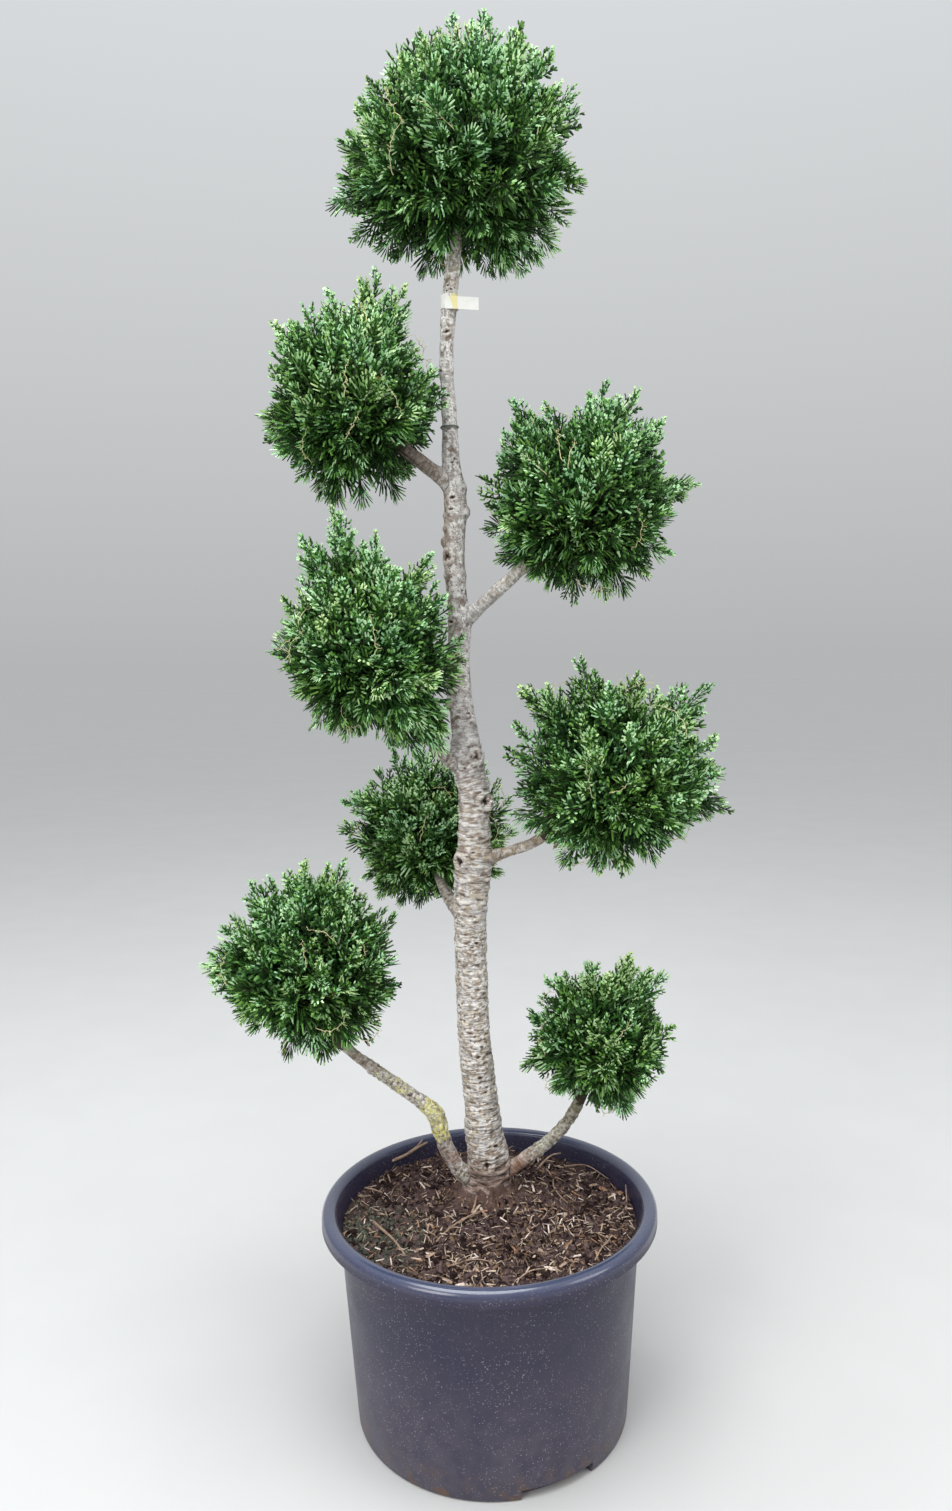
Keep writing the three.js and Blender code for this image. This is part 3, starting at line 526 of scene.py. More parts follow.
# Finishes of twigs: two colours and the spacing of their wrinkles
TWIG_FINISHES = {
    # The twigs' bark is darkened and greened with painted shade, to sink into the gaps of the foliage
    "twig_bark_shaded": ((0.085, 0.07, 0.04), (0.05, 0.04, 0.025), 2.4),
    "dry_twig": ((0.84, 0.80, 0.46), (0.66, 0.60, 0.32), 1.6),
    "soil_twig": ((0.50, 0.37, 0.27), (0.26, 0.17, 0.12), 2.0),
}


def linked(item):
    bpy.context.scene.collection.objects.link(item)
    return item


# Camera, floor and light


def make_camera():
    data = bpy.data.cameras.new("camera")
    data.sensor_fit = "VERTICAL"
    data.sensor_height = SENSOR_HEIGHT
    data.lens = FOCAL_PIXELS / PHOTO_HEIGHT * SENSOR_HEIGHT
    data.clip_start = 0.02
    camera = linked(bpy.data.objects.new("camera", data))
    level = Matrix.Rotation(-CAMERA_RIGHT, 4, "Z") @ Matrix.Rotation(math.pi / 2 - CAMERA_DOWN, 4, "X")
    place = Matrix.Translation(Vector(CAMERA_PLACE) * MM)
    camera.matrix_world = place @ level @ Matrix.Rotation(-CAMERA_ROLL, 4, "Z")
    bpy.context.scene.camera = camera


def make_lights():
    for name, lamp in LAMPS.items():
        data = bpy.data.lights.new(name, "AREA")
        data.shape = "DISK"
        data.size = lamp["size"] * MM
        data.energy = lamp["power"]
        data.color = lamp["tint"]
        item = linked(bpy.data.objects.new(name, data))
        item.location = Vector(lamp["place"]) * MM
        aim = Vector(LAMP_AIM) - Vector(lamp["place"])
        item.rotation_euler = aim.to_track_quat("-Z", "Y").to_euler()
    world = bpy.data.worlds.new("soft_sky")
    world.use_nodes = True
    tree = world.node_tree
    place = put(tree, "ShaderNodeTexCoord").outputs["Generated"]
    height = put(tree, "ShaderNodeSeparateXYZ", {0: place}).outputs["Z"]
    sky = blended(tree, ramped(tree, height, 0.0, 1.0), HORIZON_TINT, ZENITH_TINT)
    tree.links.new(sky, tree.nodes["Background"].inputs["Color"])
    bpy.context.scene.world = world


# Shader nodes: short ways to add and join them


def fill(tree, socket, value):
    """Links an input to a socket, or gives it a plain value, which for a colour is three numbers."""
    if isinstance(value, bpy.types.NodeSocket):
        tree.links.new(value, socket)
    else:
        socket.default_value = (*value, 1) if socket.type == "RGBA" else value


def used(sockets, name=None):
    """The first socket in use, or the first in use that has this name."""
    return next(s for s in sockets if s.enabled and name in (None, s.name))


def put(tree, kind, inputs=None, **settings):
    """A new node with these settings and inputs."""
    node = tree.nodes.new(kind)
    for name, value in settings.items():
        setattr(node, name, value)
    for key, value in (inputs or {}).items():
        fill(tree, node.inputs[key], value)
    return node


def bound(tree, *makers):
    """Node functions, each bound to one tree."""
    return [partial(make, tree) for make in makers]


def arith(tree, operation, first, second=0.0):
    return put(tree, "ShaderNodeMath", {0: first, 1: second}, operation=operation).outputs[0]


def multiplied(tree, first, second):
    return arith(tree, "MULTIPLY", first, second)


def stretched(tree, vector, factors):
    inputs = {0: vector, 1: factors}
    return put(tree, "ShaderNodeVectorMath", inputs, operation="MULTIPLY").outputs[0]


def blended(tree, share, first, second):
    """A colour between two, by the share of the second."""
    node = put(tree, "ShaderNodeMix", data_type="RGBA")
    for name, value in (("Factor", share), ("A", first), ("B", second)):
        fill(tree, used(node.inputs, name), value)
    return used(node.outputs)


def ramped(tree, value, low, high, first=0.0, last=1.0):
    """A value's way from low to high, as a number from first to last."""
    inputs = {"Value": value, "From Min": low, "From Max": high, "To Min": first, "To Max": last}
    return put(tree, "ShaderNodeMapRange", inputs).outputs["Result"]


def noise_in(tree, vector, scale, detail, roughness=0.5):
    inputs = {"Vector": vector, "Scale": scale, "Detail": detail, "Roughness": roughness}
    return put(tree, "ShaderNodeTexNoise", inputs).outputs["Fac"]


def noise_mask(tree, vector, scale, low, high, detail=4.0):
    """Noise that rises from 0 at a low value to 1 at a high one."""
    return ramped(tree, noise_in(tree, vector, scale, detail), low, high)


def attribute(tree, name):
    """What a mesh keeps under a name."""
    return put(tree, "ShaderNodeAttribute", attribute_name=name).outputs


def darker(color, share):
    return tuple(c * share for c in color)


def new_group(name, inputs, outputs):
    group = bpy.data.node_groups.new(name, "ShaderNodeTree")
    for label, (kind, default) in inputs.items():
        socket = group.interface.new_socket(name=label, in_out="INPUT", socket_type="NodeSocket" + kind)
        if default is not None:
            socket.default_value = (*default, 1) if kind == "Color" else default
    for label, kind in outputs.items():
        group.interface.new_socket(name=label, in_out="OUTPUT", socket_type="NodeSocket" + kind)
    start = group.nodes.new("NodeGroupInput")
    end = group.nodes.new("NodeGroupOutput")
    return group, start.outputs, end.inputs


def make_mottle_group():
    """Colour that drifts to a second colour in soft patches of one size and small ones of a quarter of it."""
    group, given, result = new_group(
        "mottle",
        {
            "Color": ("Color", (0.5, 0.5, 0.5)),
            "Second": ("Color", (0.2, 0.2, 0.2)),
            "Scale": ("Float", 100.0),
            "Amount": ("Float", 1.0),
        },
        {"Color": "Color", "Height": "Float"},
    )
    place = put(group, "ShaderNodeTexCoord").outputs["Object"]
    patches = noise_in(group, place, given["Scale"], 3.0)
    fine = noise_in(group, place, multiplied(group, given["Scale"], 4.0), 2.0)
    both = arith(group, "ADD", patches, fine)
    share = multiplied(group, ramped(group, both, 0.75, 1.25), given["Amount"])
    group.links.new(blended(group, share, given["Color"], given["Second"]), result["Color"])
    group.links.new(both, result["Height"])
    return group


def make_specks_group():
    """A mask of small round specks: one in some cells of a grid, of uneven size."""
    group, given, result = new_group(
        "specks",
        {
            "Vector": ("Vector", None),
            "Scale": ("Float", 300.0),
            "Size": ("Float", 0.2),
            "Share": ("Float", 0.3),
        },
        {"Mask": "Float"},
    )
    cells = put(group, "ShaderNodeTexVoronoi", {"Vector": given["Vector"], "Scale": given["Scale"]})
    chance = put(group, "ShaderNodeSeparateColor", {"Color": cells.outputs["Color"]})
    chosen = arith(group, "LESS_THAN", chance.outputs[0], given["Share"])
    size = arith(group, "MULTIPLY", given["Size"], chance.outputs[1])
    inside = arith(group, "LESS_THAN", cells.outputs["Distance"], size)
    group.links.new(arith(group, "MULTIPLY", chosen, inside), result["Mask"])
    return group


def make_wrinkle_group():
    """Bark's cross ridges: thin creases that run round a limb, bend, split and meet."""
    group, given, result = new_group(
        "wrinkles",
        {"Place": ("Vector", None), "Spacing": ("Float", 3.0), "Stretch": ("Float", 6.0)},
        {"Crease": "Float", "Height": "Float"},
    )
    around = arith(group, "DIVIDE", 1.0, arith(group, "MULTIPLY", given["Spacing"], given["Stretch"]))
    along = arith(group, "DIVIDE", 1.0, given["Spacing"])
    factors = put(group, "ShaderNodeCombineXYZ", {"X": around, "Y": around, "Z": along})
    place = stretched(group, given["Place"], factors.outputs[0])
    inputs = {"Vector": place, "Scale": 0.5, "Detail": 4.0, "Roughness": 0.62, "Distortion": 0.5}
    waves = put(group, "ShaderNodeTexNoise", inputs).outputs["Fac"]
    ridge = arith(group, "ABSOLUTE", arith(group, "SUBTRACT", waves, 0.5))
    crease = arith(group, "SUBTRACT", 1.0, ramped(group, ridge, 0.008, 0.06))
    group.links.new(crease, result["Crease"])
    height = arith(group, "ADD", ramped(group, ridge, 0.0, 0.14), arith(group, "MULTIPLY", waves, 0.6))
    group.links.new(height, result["Height"])
    return group


MOTTLE = make_mottle_group()
SPECKS = make_specks_group()
WRINKLES = make_wrinkle_group()


def grouped(tree, group, inputs):
    return put(tree, "ShaderNodeGroup", inputs, node_tree=group).outputs


def speck_mask(tree, vector, scale, size, share):
    inputs = {"Vector": vector, "Scale": scale, "Size": size, "Share": share}
    return grouped(tree, SPECKS, inputs)["Mask"]


def new_finish(name, roughness, specular=0.5):
    material = bpy.data.materials.new(name)
    material.use_nodes = True
    tree = material.node_tree
    shader = tree.nodes["Principled BSDF"]
    shader.inputs["Roughness"].default_value = roughness
    shader.inputs["Specular IOR Level"].default_value = specular
    return material, tree, shader.inputs


def bumped(tree, shader, height, distance, strength=1.0):
    inputs = {"Height": height, "Distance": distance * MM, "Strength": strength}
    tree.links.new(put(tree, "ShaderNodeBump", inputs).outputs["Normal"], shader["Normal"])


def mottled_finish(name, color, second, scale, roughness, bump, specular):
    material, tree, shader = new_finish(name, roughness, specular)
    mottle = grouped(tree, MOTTLE, {"Color": color, "Second": second, "Scale": scale})
    tree.links.new(mottle["Color"], shader["Base Color"])
    if bump:
        bumped(tree, shader, mottle["Height"], bump)
    return material


def container_finish():
    """Dark plastic: a glossy rim lightened with a painted reflection, dust and mud low down, and fine pale
    specks.
    """
    material, tree, shader = new_finish("container_plastic", 0.36, 0.42)
    calc, times, ramp, blend, specks = bound(tree, arith, multiplied, ramped, blended, speck_mask)
    shader["Coat Roughness"].default_value = 0.14
    place = put(tree, "ShaderNodeTexCoord").outputs["Object"]
    height = put(tree, "ShaderNodeSeparateXYZ", {0: place}).outputs["Z"]
    mask = partial(noise_mask, tree, place)
    inputs = {"Color": (0.023, 0.021, 0.051), "Second": (0.034, 0.028, 0.056), "Scale": 9.0}
    body = grouped(tree, MOTTLE, inputs)["Color"]
    rim = ramp(height, 0.2, 0.2095)
    tree.links.new(rim, shader["Coat Weight"])
    # Painted reflection: the rim's colour is lightened to pale blue for the sky's sheen on the glossy roll; the
    # same mask also lowers the rim's roughness.
    rim_sheen = times(rim, 0.6)
    rim_sheened = blend(rim_sheen, body, (0.056, 0.075, 0.148))
    dust = times(calc("SUBTRACT", 1.0, ramp(height, 0.0, 0.14)), 0.36)
    dust_share = times(dust, calc("ADD", times(mask(70.0, 0.35, 0.65), 0.5), 0.4))
    dusty = blend(dust_share, rim_sheened, (0.19, 0.165, 0.19))
    mud = times(calc("SUBTRACT", 1.0, ramp(height, 0.004, 0.03)), mask(60.0, 0.5, 0.62))
    muddy = blend(mud, dusty, (0.12, 0.07, 0.045))
    dots = calc("MAXIMUM", specks(place, 400.0, 0.27, 0.36), specks(place, 720.0, 0.38, 0.40))
    flat = stretched(tree, place, (1.0, 1.0, 2.4))
    marks = calc("MAXIMUM", dots, specks(flat, 110.0, 0.13, 0.12))
    off_rim = calc("SUBTRACT", 1.0, times(rim, 0.8))
    patchy = times(times(marks, off_rim), mask(14.0, 0.2, 0.55))
    specked = blend(times(patchy, 0.6), muddy, (0.34, 0.32, 0.35))
    tree.links.new(specked, shader["Base Color"])
    gloss = ramp(mask(35.0, 0.3, 0.7), 0.0, 1.0, 0.3, 0.44)
    tree.links.new(calc("SUBTRACT", gloss, times(rim_sheen, 0.26)), shader["Roughness"])
    bumped(tree, shader, noise_in(tree, place, 700.0, 2.0), 0.12, 0.3)
    return material


def soil_finish():
    """Dark soil with pale bits, dusty round the trunk's foot and mossy on one side."""
    material, tree, shader = new_finish("potting_soil", 0.95, 0.12)
    times, blend = bound(tree, multiplied, blended)
    place = put(tree, "ShaderNodeTexCoord").outputs["Object"]
    inputs = {"Color": (0.013, 0.0065, 0.006), "Second": (0.126, 0.083, 0.080), "Scale": 52.0, "Amount": 0.9}
    body = grouped(tree, MOTTLE, inputs)["Color"]
    bits = speck_mask(tree, place, 560.0, 0.5, 0.26)
    bitty = blend(times(bits, 0.7), body, (0.33, 0.245, 0.20))
    dusty = blend(times(attribute(tree, "dust")["Fac"], 0.5), bitty, (0.185, 0.115, 0.092))
    patchy = times(attribute(tree, "moss")["Fac"], noise_mask(tree, place, 260.0, 0.32, 0.52))
    mossy = blend(times(patchy, 0.75), dusty, (0.085, 0.088, 0.070))
    tree.links.new(mossy, shader["Base Color"])
    bumped(tree, shader, noise_in(tree, place, 900.0, 4.0), 1.0, 0.8)
    return material


def bark_finish():
    """Bark in its tones, with flakes, scales, pale ridges, partly weathered bark and partly painted highlight,
    dark creases, partly fissures and partly painted shade, twig scars and lichen.
    """
    material, tree, shader = new_finish("bark", 0.8, 0.35)
    calc, times, ramp, blend = bound(tree, arith, multiplied, ramped, blended)
    place = attribute(tree, "place")["Vector"]
    tone = attribute(tree, "tone")["Color"]
    coarse, crest, hollow, scar, lichen, yellow = (
        attribute(tree, name)["Fac"] for name in ("coarse", "crest", "hollow", "mark", "lichen", "yellow")
    )
    mask = partial(noise_mask, tree, place)

    def noise_on(factors, detail):
        return noise_in(tree, stretched(tree, place, factors), 1.0, detail)

    def specks_on(factors, size, share):
        return speck_mask(tree, stretched(tree, place, factors), 1.0, size, share)

    wide = grouped(tree, WRINKLES, {"Place": place, "Spacing": 3.6, "Stretch": 6.0})
    fine = grouped(tree, WRINKLES, {"Place": place, "Spacing": 1.7, "Stretch": 6.0})
    lightness = ramp(put(tree, "ShaderNodeRGBToBW", {0: tone}).outputs[0], 0.18, 0.5)
    warm = blend(times(mask(0.06, 0.45, 0.7), 0.3), tone, (0.42, 0.31, 0.20))
    smooth_bark = ramp(calc("SUBTRACT", 1.0, coarse), 0.2, 0.5)
    scales = ramp(noise_on((0.085, 0.085, 0.12), 6.0), 0.54, 0.58)
    flaking = noise_on((0.13, 0.13, 0.2), 5.0)
    patchiness = times(calc("MAXIMUM", lightness, 0.16), 0.92)
    pale = blend(times(ramp(flaking, 0.47, 0.51), patchiness), warm, (0.99, 0.965, 0.95))
    off_edge = ramp(calc("ABSOLUTE", calc("SUBTRACT", flaking, 0.465)), 0.003, 0.014)
    flake_edge = times(calc("SUBTRACT", 1.0, off_edge), times(smooth_bark, mask(0.1, 0.45, 0.6)))
    edged = blend(times(flake_edge, 0.85), pale, (0.16, 0.11, 0.08))
    gathered = mask(0.035, 0.44, 0.58, 2.0)
    scale_share = times(times(scales, smooth_bark), calc("ADD", times(gathered, 0.55), 0.35))
    scaled = blend(scale_share, edged, (0.22, 0.155, 0.115))
    # Ridges and crests are lightened, partly as pale weathered bark and partly as painted highlight
    ridge = calc("MAXIMUM", times(ramp(wide["Height"], 0.9, 1.3), 0.4), crest)
    chalk_highlight_tone = blend(lightness, (0.36, 0.25, 0.20), (0.97, 0.91, 0.835))
    chalk_highlighted = blend(times(ridge, 0.72), scaled, chalk_highlight_tone)
    # Wrinkle creases and hollows of the relief are darkened, partly as dark fissures and partly as painted
    # shade
    thin_lines = calc("MAXIMUM", times(wide["Crease"], coarse), times(fine["Crease"], 0.5))
    crease = calc("MAXIMUM", times(thin_lines, 0.66), times(hollow, 0.92))
    crease_shade_tone = blend(lightness, (0.030, 0.019, 0.015), (0.115, 0.076, 0.054))
    crease_shaded = blend(crease, chalk_highlighted, crease_shade_tone)
    dashes = specks_on((0.13, 0.13, 0.36), 0.46, 0.2)
    dash_share = times(dashes, calc("ADD", times(gathered, 0.75), 0.2))
    dashed = blend(dash_share, crease_shaded, (0.07, 0.052, 0.042))
    fleck_share = times(times(specks_on((0.3, 0.3, 0.75), 0.55, 0.34), smooth_bark), 0.75)
    flecked = blend(fleck_share, dashed, (0.17, 0.12, 0.095))
    mark = calc("ADD", scar, times(mask(0.5, 0.3, 0.7), 0.3))
    ringed = blend(times(ramp(mark, 0.34, 0.52), 0.55), flecked, (0.15, 0.10, 0.072))
    marked = blend(times(ramp(mark, 0.55, 0.85), 0.96), ringed, (0.016, 0.011, 0.009))
    crust_noise = noise_in(tree, place, 0.17, 8.0, 0.78)
    crust = ramp(calc("ADD", lichen, crust_noise), 0.985, 1.03)
    yellow_share = times(mask(0.4, 0.4, 0.54, 6.0), yellow)
    crust_tone = blend(yellow_share, (0.80, 0.79, 0.63), (0.90, 0.81, 0.24))
    crusted = blend(crust, marked, crust_tone)
    gaps = times(speck_mask(tree, place, 0.34, 0.5, 0.3), crust)
    gapped = blend(times(gaps, 0.6), crusted, (0.16, 0.12, 0.075))
    tree.links.new(gapped, shader["Base Color"])
    height = calc("ADD", times(wide["Height"], coarse), times(fine["Height"], 0.4))
    bumped(tree, shader, calc("ADD", height, times(crust, crust_noise)), 1.1, 0.9)
    return material


def twig_finish(name, color, second, spacing):
    """Bark of thin twigs and dry sticks, from object coordinates in millimetres."""
    material, tree, shader = new_finish(name, 0.8, 0.3)
    place = put(tree, "ShaderNodeTexCoord").outputs["Object"]
    millimetres = stretched(tree, place, (1000.0, 1000.0, 1000.0))
    lines = grouped(tree, WRINKLES, {"Place": millimetres, "Spacing": spacing, "Stretch": 1.5})
    body = grouped(tree, MOTTLE, {"Color": color, "Second": second, "Scale": 160.0})["Color"]
    lined = blended(tree, multiplied(tree, lines["Crease"], 0.5), body, darker(second, 0.5))
    tree.links.new(lined, shader["Base Color"])
    bumped(tree, shader, lines["Height"], 0.3, 0.6)
    return material


def foliage_finishes():
    """Two finishes for each tint in each hue: the body of a finger, then its tip, lighter as a painted
    highlight.
    """
    finishes = []
    for hue, factors in LEAF_HUES.items():
        for tint, tones in TINTS.items():
            body = tuple(a * b for a, b in zip(tones[0], factors))
            tip = tuple(a * (1 + b) / 2 for a, b in zip(tones[1], factors))
            finishes += [
                mottled_finish("leaf_" + tint + hue, body, darker(body, 0.6), 140.0, 0.6, 0.0, 0.2),
                mottled_finish("leaf_tip_" + tint + hue, tip, darker(tip, 0.75), 140.0, 0.5, 0.0, 0.28),
            ]
    return finishes


FINISHES = {name: mottled_finish(name, *values) for name, values in PLAIN_FINISHES.items()}
FINISHES.update({name: twig_finish(name, *values) for name, values in TWIG_FINISHES.items()})
FINISHES.update({"container": container_finish(), "soil": soil_finish(), "bark": bark_finish()})
LEAF_FINISHES = foliage_finishes()


# Meshes from arrays


def mesh_piece(name, points, faces, finishes, face_finish=None, smooth=True):
    """An object whose mesh has these points, in millimetres, and these faces, all with as many corners."""
    points = np.asarray(points, np.float32) * MM
    faces = np.asarray(faces, np.int32)
    mesh = bpy.data.meshes.new(name)
    mesh.vertices.add(len(points))
    mesh.vertices.foreach_set("co", points.ravel())
    mesh.loops.add(faces.size)
    mesh.loops.foreach_set("vertex_index", faces.ravel())
    mesh.polygons.add(len(faces))
    mesh.polygons.foreach_set("loop_start", np.arange(0, faces.size, faces.shape[1], dtype=np.int32))
    for finish in finishes:
        mesh.materials.append(finish)
    if face_finish is not None:
        mesh.polygons.foreach_set("material_index", np.asarray(face_finish, np.int32))
    mesh.polygons.foreach_set("use_smooth", np.full(len(faces), smooth))
    mesh.update(calc_edges=True)
    mesh.validate()
    return linked(bpy.data.objects.new(name, mesh))


def keep_masks(mesh, masks):
    """Keeps a number for each point of a mesh under each name."""
    for name, values in masks.items():
        layer = mesh.attributes.new(name, "FLOAT", "POINT")
        layer.data.foreach_set("value", values.astype(np.float32))


def joined_arrays(parts):
    """Points and faces of several closed shapes as one array of each."""
    points, faces, start = [], [], 0
    for part_points, part_faces in parts:
        points.append(part_points)
        faces.append(np.asarray(part_faces) + start)
        start += len(part_points)
    return np.concatenate(points), np.concatenate(faces)


def settled(piece, slot, *nodes):
    """Rides on the one body and stands for the nodes it replaces; its slot is not used."""
    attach(piece, "root")
    if nodes:
        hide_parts(*nodes)


# Limbs: the same curves through the same stations as built


def bent_through(stations, spacing):
    """Centres, radii and directions along a limb, on a centripetal curve through its stations."""
    centres = np.array([s["centre"] for s in stations], float)
    radii = np.array([s["radius"] for s in stations], float)
    before = 2 * centres[0] - centres[1]
    after = 2 * centres[-1] - centres[-2]
    chain = np.vstack([before, centres, after])
    gaps = np.sqrt(np.linalg.norm(np.diff(chain, axis=0), axis=1))
    places, widths, ways = [], [], []
    for i in range(len(centres) - 1):
        p0, p1, p2, p3 = chain[i : i + 4]
        g0, g1, g2 = gaps[i : i + 3]
        start = ((p1 - p0) / g0 - (p2 - p0) / (g0 + g1) + (p2 - p1) / g1) * g1
        end = ((p2 - p1) / g1 - (p3 - p1) / (g1 + g2) + (p3 - p2) / g2) * g1
        steps = max(2, round(float(np.linalg.norm(p2 - p1)) / spacing))
        last = i == len(centres) - 2
        for w in np.arange(steps + last) / steps:
            square = -3 * p1 + 3 * p2 - 2 * start - end
            cube = 2 * p1 - 2 * p2 + start + end
            places.append(p1 + start * w + square * w**2 + cube * w**3)
            ways.append(start + 2 * square * w + 3 * cube * w**2)
            widths.append(radii[i] + (radii[i + 1] - radii[i]) * w)
    ways = np.array(ways)
    return np.array(places), np.array(widths), ways / np.linalg.norm(ways, axis=1)[:, None]


def limb_path(stations, spacing=LIMB_SPACING):
    """A limb's curve with a frame that doesn't twist along it."""
    centres, radii, ways = bent_through(stations, spacing)
    normals = []
    normal = np.array([1.0, 0, 0])
    for way in ways:
        normal = normal - way * (normal @ way)
        normal = normal / np.linalg.norm(normal)
        normals.append(normal)
    normals = np.array(normals)
    along = np.concatenate([[0], np.cumsum(np.linalg.norm(np.diff(centres, axis=0), axis=1))])
    return {
        "centres": centres,
        "radii": radii,
        "ways": ways,
        "normals": normals,
        "acrosses": np.cross(normals, ways),
        "along": along,
    }


def tube(path, sides, swell=None):
    """A capped tube along a path, as points and triangles."""
    count = len(path["centres"])
    azimuths = np.arange(sides) * 2 * math.pi / sides
    rings = []
    for i in range(count):
        radii = path["radii"][i] * (swell(azimuths, path["centres"][i][2]) if swell else 1.0)
        spokes = np.outer(np.cos(azimuths), path["normals"][i])
        spokes -= np.outer(np.sin(azimuths), path["acrosses"][i])
        rings.append(path["centres"][i] + spokes * np.reshape(radii, (-1, 1)))
    points = np.vstack([*rings, path["centres"][:1], path["centres"][-1:]])
    faces = []
    for i in range(count - 1):
        for j in range(sides):
            a = i * sides + j
            b = i * sides + (j + 1) % sides
            faces += [(a, b, b + sides), (a, b + sides, a + sides)]
    foot, top, last = count * sides, count * sides + 1, (count - 1) * sides
    for j in range(sides):
        k = (j + 1) % sides
        faces += [(foot, k, j), (top, last + j, last + k)]
    return points, np.array(faces)


def stations_of(rows):
    return [{"centre": (x, y, z), "radius": radius} for x, y, z, radius in rows]


def root_flare(azimuths, z):
    fade = max(0.0, 1 - (z - MOUND_TOP) / FLARE_HEIGHT)
    return 1 + FLARE_DEPTH * fade * fade * np.cos(FLARE_LOBES * azimuths + 1)


LIMBS = {"trunk": stations_of([(x, y, z, r) for z, x, y, r in TRUNK])}
LIMBS.update({name: stations_of(rows) for name, rows in BOUGHS.items()})
PATHS = {name: limb_path(stations) for name, stations in LIMBS.items()}


def trunk_at(height):
    """The trunk's centre and radius at a height."""
    rows = np.array(TRUNK, float)
    x, y, radius = (np.interp(height, rows[:, 0], rows[:, i]) for i in (1, 2, 3))
    return np.array([x, y, height]), radius


def on_trunk(height, azimuth, out=0.0):
    """The point on the trunk's surface at a height and azimuth, moved out from it."""
    centre, radius = trunk_at(height)
    turn = math.radians(azimuth)
    return centre + (radius + out) * np.array([math.cos(turn), math.sin(turn), 0])


def knot_ball(knot):
    height, azimuth, radius, proud = knot
    centre = on_trunk(height, azimuth, proud - radius)
    rings, sides = 8, 12
    points = [centre + np.array([0, 0, -radius])]
    for i in range(1, rings):
        tilt = math.pi * i / rings
        for j in range(sides):
            turn = 2 * math.pi * j / sides
            spoke = (math.sin(tilt) * math.cos(turn), math.sin(tilt) * math.sin(turn), -math.cos(tilt))
            points.append(centre + radius * np.array(spoke))
    points.append(centre + np.array([0, 0, radius]))
    faces = []
    for j in range(sides):
        k = (j + 1) % sides
        faces.append((0, 1 + k, 1 + j))
        for i in range(rings - 2):
            a, b = 1 + i * sides + j, 1 + i * sides + k
            faces += [(a, b, b + sides), (a, b + sides, a + sides)]
        last = 1 + (rings - 2) * sides
        faces.append((len(points) - 1, last + j, last + k))
    return np.array(points), np.array(faces)


def applied(piece):
    """Makes the modifiers of a piece real."""
    evaluated = piece.evaluated_get(bpy.context.evaluated_depsgraph_get())
    mesh = bpy.data.meshes.new_from_object(evaluated)
    piece.modifiers.clear()
    old = piece.data
    piece.data = mesh
    bpy.data.meshes.remove(old)


def vertex_array(mesh, attribute="co"):
    values = np.empty(len(mesh.vertices) * 3, np.float32)
    mesh.vertices.foreach_get(attribute, values)
    return values.reshape(-1, 3).astype(float)


def neighbour_mean(points, edges):
    total = np.zeros_like(points)
    count = np.zeros(len(points))
    for a, b in ((0, 1), (1, 0)):
        np.add.at(total, edges[:, a], points[edges[:, b]])
        np.add.at(count, edges[:, a], 1)
    return total / count[:, None]


def nearest_on(path, points):
    """For each point: the index of the nearest centre of a path, and the distance in radii."""
    index = np.empty(len(points), int)
    ratio = np.empty(len(points))
    for start in range(0, len(points), POINT_BLOCK):
        block = points[start : start + POINT_BLOCK]
        away = np.linalg.norm(block[:, None, :] - path["centres"][None, :, :], axis=2)
        nearest = (away / path["radii"]).argmin(1)
        index[start : start + POINT_BLOCK] = nearest
        ratio[start : start + POINT_BLOCK] = (away / path["radii"])[np.arange(len(block)), nearest]
    return index, ratio


def noise_at(points):
    return np.array([noise.noise(Vector(p)) for p in points])


def tones_along(shares, stops):
    keys = [stop[0] for stop in stops]
    return np.stack([np.interp(shares, keys, [stop[1][i] for stop in stops]) for i in range(3)], 1)


